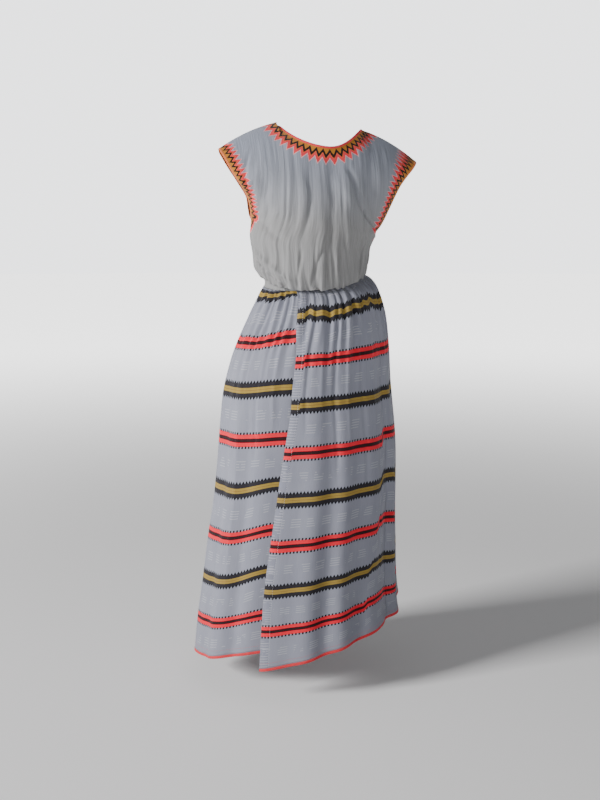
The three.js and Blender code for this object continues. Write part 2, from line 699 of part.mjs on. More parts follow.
const gauze = new THREE.MeshStandardMaterial({ color: 0xc9c5bd, roughness: 0.92, metalness: 0 });
const cotton = new THREE.MeshStandardMaterial({ color: 0xd3d5dd, roughness: 0.9, metalness: 0 });
const redThread = new THREE.MeshStandardMaterial({ color: 0xd8323c, roughness: 0.8, metalness: 0 });
const goldThread = new THREE.MeshStandardMaterial({ color: 0xd8842c, roughness: 0.8, metalness: 0 });

function addPiece(name, geometry, material) {
  const mesh = new THREE.Mesh(geometry, material);
  mesh.name = name;
  dress.add(mesh);
}

function isSeam(row, s) {
  const sideSeam = Math.abs(s) === 1 && row.run <= ARM_RUN;
  const shoulderSeam = row.run === TOP_RUN && Math.abs(s) > NECK_SHARE - TINY;
  return sideSeam || shoulderSeam;
}

function bodicePanel(side) {
  const rows = bodiceRows(side);
  const result = clothWall(rows, GAUZE_WALL, (row, i, normal) => {
    if (isSeam(row, row.places[i])) {
      normal.y = 0;
      normal.normalize();
    }
  });
  return { rows, ...result };
}

const front = bodicePanel(-1);
const back = bodicePanel(1);
addPiece('bodice_front', front.geometry, gauze);
addPiece('bodice_back', back.geometry, gauze);

// Point and normal of a panel's wall at a row and a place across it
function edgePoint(panel, run, s) {
  const row = panel.rows.find((candidate) => candidate.run === run);
  const i = row.places.findIndex((place) => Math.abs(place - s) < TINY);
  return { point: row.points[i], normal: panel.normals[row.first + i] };
}

// The point where the two panels meet at a seam
function sharedPoint(run, s) {
  const near = edgePoint(front, run, s);
  const far = edgePoint(back, run, s);
  return {
    point: near.point.clone().add(far.point).multiplyScalar(0.5),
    normal: near.normal.clone().add(far.normal).normalize(),
  };
}

function neckLoop() {
  const columns = Math.round(NECK_SHARE * BODICE_UPPER_COLUMNS);
  const places = [];
  for (let i = 2 - columns; i < columns; i += 2) places.push(i / BODICE_UPPER_COLUMNS);
  return [
    sharedPoint(TOP_RUN, -NECK_SHARE),
    ...places.map((s) => edgePoint(front, TOP_RUN, s)),
    sharedPoint(TOP_RUN, NECK_SHARE),
    ...places.reverse().map((s) => edgePoint(back, TOP_RUN, s)),
  ];
}

function cuffLoop(hand) {
  const runs = BODICE_YOKE_RUNS.filter((run) => run > ARM_RUN && run < TOP_RUN);
  return [
    sharedPoint(ARM_RUN, hand),
    ...runs.map((run) => edgePoint(front, run, hand)),
    sharedPoint(TOP_RUN, hand),
    ...runs.reverse().map((run) => edgePoint(back, run, hand)),
  ];
}

addPiece('neck_binding', loopBinding(neckLoop(), -1, NECK_BINDING_WIDTH), redThread);
addPiece('cuff_binding_left', loopBinding(cuffLoop(-1), -1, CUFF_BINDING_WIDTH), goldThread);
addPiece('cuff_binding_right', loopBinding(cuffLoop(1), 1, CUFF_BINDING_WIDTH), goldThread);

function casingGeometry() {
  const sections = [];
  const half = CASING_HEIGHT / 2;
  for (let i = 0; i < CASING_COLUMNS; i++) {
    const angle = (360 / CASING_COLUMNS) * i;
    sections.push([
      waistPoint(angle, half, -SEAM_GAP),
      waistPoint(angle, 0, -CASING_CINCH),
      waistPoint(angle, -half, 0),
      waistPoint(angle, -half, -CASING_WALL),
      waistPoint(angle, 0, -CASING_WALL - CASING_CINCH),
      waistPoint(angle, half, -CASING_WALL),
    ]);
  }
  return sectionSolid(sections, true);
}
addPiece('waist_casing', casingGeometry(), gauze);

const lowered = (surface) => (angle, drop) => {
  const point = surface(angle, drop);
  point.z -= SEAM_GAP;
  return point;
};

const PANELS = [
  {
    name: 'over',
    surface: lowered(overPoint),
    left: (drop) => skirt.edge(drop),
    right: (drop) => RIGHT_SEAM_ANGLE - gapAngle(drop),
  },
  {
    name: 'under',
    surface: lowered(underPoint),
    left: (drop) => LEFT_SEAM_ANGLE + gapAngle(drop),
    right: (drop) => skirt.edge(drop) + UNDERLAP_ANGLE,
  },
  {
    name: 'back',
    surface: lowered(backPoint),
    left: (drop) => RIGHT_SEAM_ANGLE + gapAngle(drop),
    right: (drop) => LEFT_SEAM_ANGLE + 360 - gapAngle(drop),
  },
];

for (const panel of PANELS) {
  const rows = skirtRows(panel.surface, panel.left, panel.right);
  addPiece(`skirt_${panel.name}`, clothWall(rows, SKIRT_WALL).geometry, cotton);
  const hem = rows[0];
  const above = rows[1];
  const sections = hem.points.map((point, i) => {
    const share = hem.fractions[i];
    const upper = above.points[Math.round(share * (above.points.length - 1))];
    const normal = hem.normals[i];
    const beyond = point.clone().sub(upper);
    beyond.addScaledVector(normal, -beyond.dot(normal)).normalize();
    return bindingSection(point, normal, beyond, SKIRT_WALL, HEM_BINDING_WIDTH);
  });
  addPiece(`hem_binding_${panel.name}`, sectionSolid(sections, false), redThread);
}

export default dress;
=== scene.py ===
import math
from functools import partialmethod

import bpy
import numpy as np
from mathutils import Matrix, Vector


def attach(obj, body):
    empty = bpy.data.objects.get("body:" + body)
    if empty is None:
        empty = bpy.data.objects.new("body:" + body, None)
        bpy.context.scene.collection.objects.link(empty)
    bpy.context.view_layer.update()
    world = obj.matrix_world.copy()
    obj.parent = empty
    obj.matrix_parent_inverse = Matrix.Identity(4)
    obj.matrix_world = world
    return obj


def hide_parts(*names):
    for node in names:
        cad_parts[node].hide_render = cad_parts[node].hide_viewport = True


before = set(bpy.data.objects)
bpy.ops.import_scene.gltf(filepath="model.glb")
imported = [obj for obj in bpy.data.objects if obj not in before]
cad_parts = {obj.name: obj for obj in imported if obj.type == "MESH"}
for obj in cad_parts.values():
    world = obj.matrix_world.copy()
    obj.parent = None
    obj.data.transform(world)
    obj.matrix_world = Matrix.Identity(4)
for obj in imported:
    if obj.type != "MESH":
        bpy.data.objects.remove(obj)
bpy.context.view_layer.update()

# Sizes in millimetres; the same named sizes and tables as the solids, in the dress's own frame:
# +Z up, the front looks along -Y, the origin half way between the neck points
NECK_HALF_WIDTH = 118
NECK_SHARE = 4 / 9
NECK_POINT_RISE = 7
NECK_FRONT = {"depth": 85, "drop": 61, "curve_left": 2.2, "curve_right": 3.6}
NECK_BACK = {"depth": 74, "drop": 68, "curve_left": 2.2, "curve_right": 2.2}
NECK_PLAN_CURVE = 1.5
NECK_FLAT_END = 0.25
SHOULDER_FALL = {"left": (35, 32), "right": (40, 35)}
CUFF_HALF_OPENING = 38
CUFF_BACK_INSET = 13
CASING_HEIGHT = 20
SKIRT_GATHERS = 42
BODICE_GATHERS = 14
BODICE_GATHER_DEPTH = 2.2
RIGHT_SEAM_GATHER = 5.5
LEFT_SEAM_GATHER = -13.5
UNDERLAP_ANGLE = 17
HEM_LINE_START = 500
HEM_DROP = 1024
EDGE_ROLL_WIDTH = 24
FOLD_GROWTH = 260
YOKE_RUN = 220
YOKE_POWER = 2.4
ARM_RUN = 200
TOP_RUN = ARM_RUN + YOKE_RUN
SEAM_GAP = 0.3
CREASE_WIDTH_SCALE = 180
CREASE_FADE = 40
SIDE_PUSH = 0.8
RAISE_FADE = (0.78, 0.98)


def rows_of(columns, *rows):
    """A table: a list of rows with named columns."""
    names = columns.split()
    return [dict(zip(names, row)) for row in rows]


SKIRT_SECTIONS = rows_of(
    "drop z centre_x half_width front back slope dip gather fold edge roll inset",
    (0, -390, -14.5, 134, 96, 86, 0.132, 25, 1.2, 0, -31, 0.3, 2.4),
    (20, -404, -9, 147, 107, 98, 0.128, 18, 2.6, 0, -30.5, 1, 7.5),
    (45, -428, -6, 161, 125, 115, 0.12, 9, 3, 0.05, -30, 2.5, 12),
    (80, -468, -8.5, 178, 146, 134, 0.113, 0, 2.8, 0.15, -29, 5, 17),
    (200, -587, -23, 213, 169, 160, 0.084, 0, 0, 0.4, -23, 9, 20),
    (320, -701, -30, 228, 180, 176, 0.056, 0, 0, 0.55, -23.5, 10, 24),
    (440, -821, -29, 239, 192, 188, 0.055, 0, 0, 0.65, -28, 10, 28),
    (560, -939, -32, 247, 200, 197, 0.074, 0, 0, 0.75, -31.5, 10, 31),
    (680, -1056, -41, 256, 207, 206, 0.096, 0, 0, 0.85, -33, 10, 34),
    (800, -1170, -48, 265, 212, 214, 0.126, 0, 0, 0.95, -34.2, 9, 36),
    (920, -1268, -54, 274, 222, 224, 0.158, 0, 0, 1, -34, 8, 38),
    (1024, -1351, -56, 283, 235, 232, 0.235, 0, 0, 1, -34, 6, 40),
)

OUTER_HEM = rows_of(
    "angle longer",
    (-40, -3),
    (0, -5),
    (20, -9),
    (36, -14),
    (62, -17),
    (78, -27),
    (150, -34),
    (200, -28),
    (244, -14),
)

UNDER_HEM = rows_of(
    "angle longer",
    (-116, -14),
    (-95, -18),
    (-80, -22),
    (-60, -34),
    (-40, -42),
    (0, -42),
)

SKIRT_FOLDS = rows_of(
    "angle spread height start",
    (-160, 8, 12, 40),
    (-143, 7, -11, 90),
    (-129, 8, 10, 30),
    (-114, 6, -12, 60),
    (-98, 7, 8, 50),
    (-80, 6, -9, 120),
    (-57, 5, -7, 60),
    (-44, 8, 6, 160),
    (-17, 7, -4, 30),
    (-8, 8, 5, 200),
    (2, 6, -8, 20),
    (11, 6, 5, 260),
    (21, 5, -5, 20),
    (33, 7, 7, 80),
    (48, 4.5, -9, 60),
    (57, 6, 8, 40),
    (74, 7, -9, 100),
    (92, 8, 11, 50),
    (110, 7, -11, 30),
    (126, 7, 9, 120),
    (143, 6, -10, 60),
    (158, 8, 12, 30),
    (179, 8, -11, 70),
)

BODICE_RINGS = rows_of(
    "run left right front back sag_front sag_back gather",
    (12, (-150, 0, -382), (121, 0, -356), 106, 94, 34, 5, 0.4),
    (24, (-155, 0, -384), (125, 0, -361), 112, 97, 46, 14, 1),
    (42, (-162, 1, -375), (127, 0, -354), 119, 102, 42, 15, 1),
    (68, (-172, 4, -358), (131, 0, -338), 124, 105, 30, 10, 0.8),
    (112, (-175, 12, -323), (134, 0, -312), 124, 103, 14, 4, 0.5),
    (158, (-181, 22, -281), (145, 0, -292), 122, 101, 4, 0, 0.3),
    (200, (-176, 30, -243), (154, 0, -276), 120, 99, 0, 0, 0.15),
)

CUFF_LEFT = rows_of(
    "along x y z",
    (0, -176, 30, -243),
    (0.25, -187, 37, -198),
    (0.45, -198, 20, -163),
    (0.6, -228, 6, -134),
    (0.8, -248, 0, -96),
    (1, -264, 0, -60),
)

CUFF_RIGHT = rows_of(
    "along x y z",
    (0, 154, 0, -276),
    (0.25, 178, 0, -222),
    (0.5, 202, 0, -166),
    (0.75, 242, 0, -112),
    (1, 265, 0, -82),
)

YOKE_SECTIONS = rows_of(
    "up front back round_left round_right lift lean spread gather lift_up",
    (0.2, 119, 98, 0.85, 0.5, 0, 0, 0, 0.1, 15),
    (0.38, 113, 95, 0.6, 0.2, 0.08, 0, 0.1, 0.05, 9),
    (0.55, 104, 91, 0.35, 0.1, 0.25, 0.06, 0.3, 0, -3),
    (0.7, 97, 87, 0.15, 0.05, 0.45, 0.2, 0.55, 0, -10),
    (0.85, 90, 81, 0.05, 0.05, 0.7, 0.45, 0.82, 0, -8),
)

FRONT_CREASES = rows_of(
    "from_s from_run to_s to_run width height",
    (0.36, 330, 0.9, 205, 9, -5),
    (0.5, 345, 0.97, 222, 10, 5),
    (-0.62, 320, -0.93, 190, 9, -4),
    (-0.5, 260, -0.72, 90, 10, 4),
    (-0.12, 380, -0.3, 80, 9, -3.5),
    (0.02, 385, 0.04, 100, 8, -4),
    (0.16, 370, 0.3, 70, 9, 3),
    (0.5, 200, 0.42, 50, 9, -4),
)

BACK_CREASES = rows_of(
    "from_s from_run to_s to_run width height",
    (0.5, 340, 0.92, 200, 10, -5),
    (-0.5, 340, -0.92, 195, 10, -5),
    (0.1, 370, 0.2, 70, 10, -4),
    (-0.14, 360, -0.2, 60, 9, 4),
    (-0.4, 230, -0.55, 60, 9, -4),
    (0.5, 220, 0.45, 60, 9, 4),
)

# Short creases of the skirt: lean is how many degrees they drift in 100 mm of drop
FINE_FOLDS = rows_of(
    "angle spread height start end lean",
    (-150, 2.6, 3, 120, 520, 0.5),
    (-134, 2.2, -3, 60, 700, -0.4),
    (-121, 2.4, 2.5, 200, 640, 0.6),
    (-104, 2.2, -2.5, 70, 480, 0.3),
    (-90, 2.6, 3, 90, 560, -0.3),
    (-72, 2.2, -2.5, 60, 420, 0.2),
    (-66, 2, 2, 330, 820, 0.2),
    (-51, 1.8, -2.5, 80, 520, -0.2),
    (-38, 1.8, 2, 100, 430, 0.1),
    (-13, 1.6, -2.2, 60, 430, -0.3),
    (-4, 1.8, 2.2, 60, 380, 0.3),
    (5.5, 1.7, -2.5, 60, 560, 0.2),
    (15, 1.6, 2, 60, 480, 0.1),
    (26, 1.7, -2.4, 90, 620, 0.3),
    (37, 1.8, 2.2, 60, 430, -0.2),
    (41, 1.5, -2.2, 380, 900, -0.4),
    (63, 2, -2.5, 80, 560, 0.3),
    (84, 2.4, 2.6, 60, 600, 0.2),
    (101, 2.4, -2.6, 110, 480, -0.3),
    (118, 2.2, 3, 60, 540, 0.4),
    (135, 2.4, -3, 70, 720, 0.2),
    (151, 2.3, 2.6, 150, 560, -0.4),
    (169, 2.4, -2.6, 60, 620, 0.3),
    (188, 2.4, 2.6, 80, 500, -0.2),
)

# Deep tucks under the waist. dip: how far the bands sag in one; end: the drop where it has opened
TUCKS = rows_of(
    "angle spread depth dip end",
    (-18, 1.7, 6, 7, 200),
    (0, 1.8, 7, -9, 270),
    (11, 1.5, 3, -5, 160),
    (22, 1.8, 6, 5, 210),
    (33, 1.5, 3.5, 4, 170),
    (43, 1.9, 6, 7, 240),
    (58, 2, 5, -6, 190),
    (76, 2, 6, 5, 230),
    (93, 2, 5, -6, 180),
    (113, 2.2, 7, 6, 260),
    (131, 2, 5, 5, 190),
    (152, 2.1, 6, -8, 240),
    (171, 2, 5, 6, 200),
    (192, 2.2, 7, -7, 250),
    (214, 2, 5, 5, 190),
    (232, 2, 5, 6, 220),
    (-104, 2.2, 5, 6, 190),
    (-88, 2, 5, -6, 220),
    (-74, 1.8, 5, 6, 170),
    (-61, 1.9, 6, 6, 120),
    (-48, 1.7, 5, -6, 110),
    (-38, 1.5, 4, 5, 105),
    (-28, 1.5, 4, -4, 100),
)

# How much of a tuck's dip its bands follow
SAG_SHARE = 0.7

# Soft folds of the gauze, placed as in the photo; the back has similar ones
GAUZE_FOLDS = {
    -1: rows_of(
        "from_s from_run to_s to_run width height",
        (0.14, 348, 0.44, 262, 4.5, -6),
        (0.42, 272, 0.98, 172, 5, -8),
        (0.05, 330, 0.36, 245, 11, 3.5),
        (-0.74, 374, -0.95, 288, 4, -5),
        (-0.66, 350, -0.84, 270, 7, 3),
        (-0.97, 242, -0.45, 150, 9, -4),
        (-0.95, 122, -0.36, 50, 9, 7),
        (-0.92, 96, -0.45, 34, 5, -6),
        (-0.24, 132, -0.31, 34, 3.5, -5),
        (0.0, 138, -0.17, 30, 4, -4),
        (0.2, 184, 0.33, 42, 4, -4),
        (0.02, 258, 0.12, 48, 3.5, -4),
        (0.55, 150, 0.5, 36, 4, -5),
        (0.78, 160, 0.68, 40, 5, -5),
        (-0.19, 348, -0.22, 155, 4.5, -2),
        (-0.7, 285, -0.63, 165, 7, -3),
        (-0.52, 90, -0.6, 24, 4, -3.5),
        (-0.72, 70, -0.78, 20, 4, -3.5),
        (-0.42, 70, -0.46, 20, 3.5, -3.5),
    ),
    1: rows_of(
        "from_s from_run to_s to_run width height",
        (-0.2, 345, -0.6, 250, 5, -5),
        (-0.55, 262, -0.96, 176, 5, -6),
        (0.72, 368, 0.94, 285, 4.5, -5),
        (0.95, 235, 0.45, 140, 6, -5),
        (0.12, 300, 0.18, 60, 4, -4.5),
        (-0.1, 260, -0.16, 44, 4, -5),
        (-0.42, 170, -0.36, 36, 4, -5),
        (0.42, 150, 0.5, 34, 4.5, -5),
        (0.86, 120, 0.4, 50, 8, 5),
        (-0.8, 150, -0.7, 40, 5, -5),
    ),
}

# Curves and tables

def monotone(xs, ys, x):
    """Value at x of a curve through the points that never swings past them; ys may hold columns."""
    xs = np.asarray(xs, float)
    ys = np.asarray(ys, float)
    x = np.asarray(x, float)
    wide = ys.ndim > 1
    steps = np.diff(xs)
    steps_y = steps[:, None] if wide else steps
    secants = np.diff(ys, axis=0) / steps_y
    slopes = np.zeros_like(ys)
    slopes[0] = secants[0]
    slopes[-1] = secants[-1]
    before, after = steps_y[:-1], steps_y[1:]
    weight_before = 2 * after + before
    weight_after = after + 2 * before
    same = secants[:-1] * secants[1:] > 0
    first = np.where(same, secants[:-1], 1)
    second = np.where(same, secants[1:], 1)
    slopes[1:-1] = np.where(
        same, (weight_before + weight_after) / (weight_before / first + weight_after / second), 0
    )
    i = np.clip(np.searchsorted(xs, x, side="left") - 1, 0, len(xs) - 2)
    width = xs[i + 1] - xs[i]
    h = (x - xs[i]) / width
    if wide:
        width = width[..., None]
        h = h[..., None]
    near = (1 + 2 * h) * (1 - h) * (1 - h)
    far = h * h * (3 - 2 * h)
    bend = width * h * (1 - h) * ((1 - h) * slopes[i] - h * slopes[i + 1])
    return near * ys[i] + far * ys[i + 1] + bend


def column(table, name):
    return [row[name] for row in table]


def along(table, key, name, x):
    return monotone(column(table, key), column(table, name), x)


def smoothstep(low, high, value):
    share = np.clip((np.asarray(value, float) - low) / (high - low), 0, 1)
    return share * share * (3 - 2 * share)


def mix(a, b, share):
    return a + (b - a) * share


def bell(apart, width):
    """1 at no distance, falling away smoothly over about the width."""
    return np.exp(-((apart / width) ** 2))


def turned_from(angle, centre):
    """How far an angle is turned from a centre, from -180 to 180."""
    return (angle - centre + 540) % 360 - 180


def stacked(*parts):
    """Points or pairs from their coordinates."""
    return np.stack(np.broadcast_arrays(*parts), axis=-1)


def unit(vectors):
    return vectors / np.maximum(np.linalg.norm(vectors, axis=-1, keepdims=True), 1e-9)


def square_to(vectors, directions):
    """The vectors without their part along unit directions."""
    return vectors - directions * np.sum(vectors * directions, axis=-1, keepdims=True)


def lengths_along(line):
    """The length along a line of points, up to each of them."""
    return np.concatenate([[0], np.cumsum(np.linalg.norm(np.diff(line, axis=0), axis=1))])


# Skirt

def skirt_value(name, drop):
    return along(SKIRT_SECTIONS, "drop", name, drop)


def gather_angle(count):
    turn = 2 * np.pi * count / SKIRT_GATHERS
    shift = 0.1 * np.sin(15 * turn + 1) + 0.18 * np.sin(6 * turn + 2.2)
    return 360 / SKIRT_GATHERS * (count + shift)


def gather_count(angle):
    count = np.asarray(angle, float) / 360 * SKIRT_GATHERS
    for _ in range(40):
        count = count + (angle - gather_angle(count)) / 360 * SKIRT_GATHERS * 0.7
    return count


def gather_wave(angle):
    turn = np.radians(angle)
    uneven = 0.8 + 0.2 * np.sin(5 * turn + 2) * np.cos(11 * turn)
    return uneven * np.cos(2 * np.pi * gather_count(angle))


RIGHT_SEAM = float(gather_angle(RIGHT_SEAM_GATHER))
LEFT_SEAM = float(gather_angle(LEFT_SEAM_GATHER))


def fold_offset(angle, drop):
    offset = 0
    for fold in SKIRT_FOLDS:
        apart = turned_from(angle, fold["angle"])
        grown = smoothstep(fold["start"], fold["start"] + FOLD_GROWTH, drop)
        offset = offset + fold["height"] * grown * bell(apart, fold["spread"])
    return offset * skirt_value("fold", drop)


def tuck_share(tuck, angle, drop):
    """How far a point lies in a tuck: 1 in the middle of it, 0 outside."""
    apart = turned_from(angle, tuck["angle"])
    open_share = smoothstep(4, 30, drop) * (1 - smoothstep(tuck["end"] * 0.45, tuck["end"], drop))
    return open_share * bell(apart, tuck["spread"] * (1 + drop / 250))


def band_sag(angle, drop):
    """How far the gathers and tucks pull the cloth's threads up or down."""
    sag = 0
    for tuck in TUCKS:
        sag = sag + SAG_SHARE * tuck["dip"] * tuck_share(tuck, angle, drop)
    near = 1 - smoothstep(90, 220, drop)
    middle = -4 * bell(angle - 3, 15) + 5 * bell(angle - 40, 12)
    return sag + near * (middle + 1.5 * gather_wave(angle))


def fine_folds(angle, drop):
    """Gathers that run on down the cloth, smaller ones between them, and short soft creases."""
    wave = gather_wave(angle)
    reach = 150 + 70 * np.sin(3.1 * gather_count(angle) + 0.6)
    tails = 2.4 * wave * smoothstep(70, 130, drop)
    tails = tails * (1 - smoothstep(reach * 0.6, reach + 170, drop))
    small = np.cos(2 * np.pi * (2.37 * gather_count(angle) + 0.3 * np.sin(drop / 37)))
    small = 0.7 * small * (1 - smoothstep(40, 150, drop)) * smoothstep(0, 12, drop)
    offset = tails + small
    for tuck in TUCKS:
        offset = offset - tuck["depth"] * tuck_share(tuck, angle, drop)
    for fold in FINE_FOLDS:
        drift = fold["lean"] * (drop - fold["start"]) / 100
        apart = turned_from(angle - fold["angle"], drift)
        ends = smoothstep(fold["start"], fold["start"] + 90, drop)
        ends = ends * (1 - smoothstep(fold["end"] - 120, fold["end"], drop))
        offset = offset + fold["height"] * ends * bell(apart, fold["spread"])
    return offset


def skirt_point(angle, drop, offset=0):
    """Points of the skirt's upper layer, moved outwards by offset."""
    angle, drop = np.broadcast_arrays(np.asarray(angle, float), np.asarray(drop, float))
    phi = np.radians(angle)
    out = offset + skirt_value("gather", drop) * gather_wave(angle)
    out = out + fold_offset(angle, drop) + fine_folds(angle, drop)
    across = skirt_value("half_width", drop)
    depth = np.where(np.cos(phi) > 0, skirt_value("front", drop), skirt_value("back", drop))
    sag = skirt_value("dip", drop) * ((1 + np.cos(phi)) / 2) ** 2
    x = skirt_value("centre_x", drop) + (across + out) * np.sin(phi)
    y = -(depth + out) * np.cos(phi)
    z = skirt_value("z", drop) + skirt_value("slope", drop) * across * np.sin(phi) - sag
    return stacked(x, y, z - SEAM_GAP)


def hemmed(drop, longer):
    return drop + longer * smoothstep(HEM_LINE_START, HEM_DROP, drop)


def over_point(angle, drop):
    reach = np.radians(angle - skirt_value("edge", drop)) * skirt_value("front", drop)
    turned = np.maximum(0, 1 - reach / EDGE_ROLL_WIDTH)
    offset = -skirt_value("roll", drop) * turned * turned
    return skirt_point(angle, hemmed(drop, along(OUTER_HEM, "angle", "longer", angle)), offset)


def under_point(angle, drop):
    inside = smoothstep(-80, skirt_value("edge", drop) - 2, angle)
    offset = -skirt_value("inset", drop) * inside
    return skirt_point(angle, hemmed(drop, along(UNDER_HEM, "angle", "longer", angle)), offset)


def back_point(angle, drop):
    return skirt_point(angle, hemmed(drop, along(OUTER_HEM, "angle", "longer", angle)))


# Bodice

WAIST = SKIRT_SECTIONS[0]
CASING_Z = WAIST["z"] + CASING_HEIGHT / 2
TIP_LEFT = CUFF_LEFT[-1]
TIP_RIGHT = CUFF_RIGHT[-1]


def waist_point(angle, rise, offset=0):
    phi = np.radians(angle)
    depth = np.where(np.cos(phi) > 0, WAIST["front"], WAIST["back"])
    sag = WAIST["dip"] * ((1 + np.cos(phi)) / 2) ** 2
    x = WAIST["centre_x"] + (WAIST["half_width"] + offset) * np.sin(phi)
    y = -(depth + offset) * np.cos(phi)
    z = CASING_Z + rise + WAIST["slope"] * WAIST["half_width"] * np.sin(phi) - sag
    return stacked(x, y, z)


def ring_point(ring, s, side):
    phi = s * np.pi / 2
    share = (1 + np.sin(phi)) / 2
    depth = ring["front"] if side < 0 else ring["back"]
    sag = ring["sag_front"] if side < 0 else ring["sag_back"]
    left, right = ring["left"], ring["right"]
    end_y = mix(left[1], right[1], share)
    x = mix(left[0], right[0], share)
    y = end_y + (side * depth - end_y) * np.cos(phi)
    z = mix(left[2], right[2], share) - sag * np.cos(phi)
    return stacked(x, y, z)


def top_point(s, side):
    """Shoulder seams and neckline: the upper end of the front (side -1) or of the back (side 1)."""
    sign = np.where(s < 0, -1.0, 1.0)
    part = np.abs(s)
    u = (part - NECK_SHARE) / (1 - NECK_SHARE)
    tip_x = np.where(s < 0, TIP_LEFT["x"], TIP_RIGHT["x"])
    first = np.where(s < 0, SHOULDER_FALL["left"][0], SHOULDER_FALL["right"][0])
    second = np.where(s < 0, SHOULDER_FALL["left"][1], SHOULDER_FALL["right"][1])
    shoulder = stacked(
        mix(sign * NECK_HALF_WIDTH, tip_x, u),
        0 * u,
        -sign * NECK_POINT_RISE - first * u - second * u * u,
    )
    turn = np.minimum(part / NECK_SHARE, 1) * np.pi / 2
    scoop = NECK_FRONT if side < 0 else NECK_BACK
    curve = np.where(s < 0, scoop["curve_left"], scoop["curve_right"])
    x = sign * NECK_HALF_WIDTH * np.sin(turn)
    c = np.maximum(np.cos(turn), 0)
    fall = (1 + NECK_FLAT_END) * c ** curve / (c + NECK_FLAT_END)
    neck = stacked(
        x,
        side * scoop["depth"] * c ** NECK_PLAN_CURVE,
        -NECK_POINT_RISE * (x / NECK_HALF_WIDTH) - scoop["drop"] * fall,
    )
    return np.where((part > NECK_SHARE - 1e-6)[..., None], shoulder, neck)


def cuff_point(table, hand, up, side):
    share = (1 - np.cos(np.pi * up)) / 2
    opened = np.sin(np.pi * up)
    inset = -hand * CUFF_BACK_INSET * opened * opened if side > 0 else 0
    x = along(table, "along", "x", share) + inset
    y = along(table, "along", "y", share) + side * CUFF_HALF_OPENING * opened
    return stacked(x, y, along(table, "along", "z", share))


def yoke_point(section, s, side):
    left = cuff_point(CUFF_LEFT, -1, section["up"], side)
    right = cuff_point(CUFF_RIGHT, 1, section["up"], side)
    phi = s * np.pi / 2
    rounded = mix(section["round_left"], section["round_right"], smoothstep(-0.4, 0.4, s))
    share = (1 + mix(s, np.sin(phi), rounded)) / 2
    middle = section["front"] if side < 0 else section["back"]
    bulge = mix(1 - np.abs(s) ** YOKE_POWER, np.cos(phi), rounded)
    end_y = mix(left[1], right[1], share)
    top = top_point(s, side)
    tip_line = mix(TIP_LEFT["z"], TIP_RIGHT["z"], share)
    y = end_y + (side * middle - end_y) * bulge
    inner = 1 - s ** 8
    raised = section["lift_up"] * (1 - smoothstep(*RAISE_FADE, np.abs(s)))
    return stacked(
        mix(mix(left[0], right[0], share), top[:, 0], section["spread"] * inner),
        mix(y, top[:, 1], section["lean"] * inner),
        mix(left[2], right[2], share) + section["lift"] * (top[:, 2] - tip_line) * inner + raised,
    )


def bodice_runs():
    runs = [0] + column(BODICE_RINGS, "run")
    return runs + [ARM_RUN + YOKE_RUN * section["up"] for section in YOKE_SECTIONS]


def bodice_surface(s, run, side):
    """Points of a bodice panel at places s across and lengths run up the cloth, rows by run."""
    points = [waist_point(s * 90 if side < 0 else 180 - s * 90, CASING_HEIGHT / 2)]
    points += [ring_point(ring, s, side) for ring in BODICE_RINGS]
    points += [yoke_point(section, s, side) for section in YOKE_SECTIONS]
    runs = bodice_runs()
    top = top_point(s, side)
    before = points[-1]
    over_shoulder = smoothstep(NECK_SHARE - 0.12, NECK_SHARE, np.abs(s))
    beyond = 2 * top - before
    beyond[:, 2] = mix(beyond[:, 2], before[:, 2], over_shoulder)
    knots = runs + [TOP_RUN, 2 * TOP_RUN - runs[-1]]
    lines = np.stack(points + [top, beyond])
    return stacked(*[monotone(knots, lines[:, :, axis], run) for axis in range(3)])


def crease_offset(creases, s, run):
    offset = 0
    for crease in creases:
        span_s = (crease["to_s"] - crease["from_s"]) * CREASE_WIDTH_SCALE
        span_run = crease["to_run"] - crease["from_run"]
        s0 = (s - crease["from_s"]) * CREASE_WIDTH_SCALE
        run0 = run - crease["from_run"]
        length = math.hypot(span_s, span_run)
        share = (s0 * span_s + run0 * span_run) / length / length
        apart = np.abs(s0 * span_run - run0 * span_s) / length
        ends = smoothstep(-0.1, 0.25, share) * (1 - smoothstep(0.75, 1.1, share))
        offset = offset + crease["height"] * ends * bell(apart, crease["width"])
    return offset


def bodice_offset(s, run, side):
    inner = 1 - s ** 8
    opened = 1 - smoothstep(TOP_RUN - CREASE_FADE, TOP_RUN, run)
    wave = np.cos(np.pi * BODICE_GATHERS * (s + 0.03 * np.sin(7 * s + 1)))
    shares = [0] + column(BODICE_RINGS, "gather") + column(YOKE_SECTIONS, "gather")
    gather = BODICE_GATHER_DEPTH * monotone(bodice_runs(), shares, run) * wave
    gather = np.where(run > ARM_RUN + YOKE_RUN * 0.55, 0, gather)
    creases = FRONT_CREASES if side < 0 else BACK_CREASES
    folds = crease_offset(GAUZE_FOLDS[side], s, run) * smoothstep(0, 22, run)
    creased = inner * opened * (gather + crease_offset(creases, s, run))
    return creased + (1 - s ** 16) * opened * folds


# Sizes of the looks, in millimetres
MM = 0.001
CLOTH_THICKNESS = 0.8
BINDING_WIDTH = 4.4
BINDING_THICKNESS = 2.2
BINDING_SIDES = 12
BINDING_SQUARENESS = 0.7
HEM_BINDING_WIDTH = 6
TURNED_STRIP = 24
STRIP_SAG = 4.0
WEFT_RADIUS = 250

# Woven bands: where they lie, and how far each tone reaches from its band's middle
BAND_FIRST = 80
BAND_SPACING = 120
LAST_BAND_END = 985
DARK_REACH = 15.6
GOLD_REACH = 6.2
GOLD_LINE_PLACE = (-0.4, 0.7)
RED_REACH = 15.2
MAROON_REACH = 4.7
TOOTH_PITCH = 8.9
TOOTH_HEIGHT = 7.5
DOT_REACH = (14.2, 20.0)
DOT_SHARE = (0.25, 0.77)
RIB_PITCH = 1.6

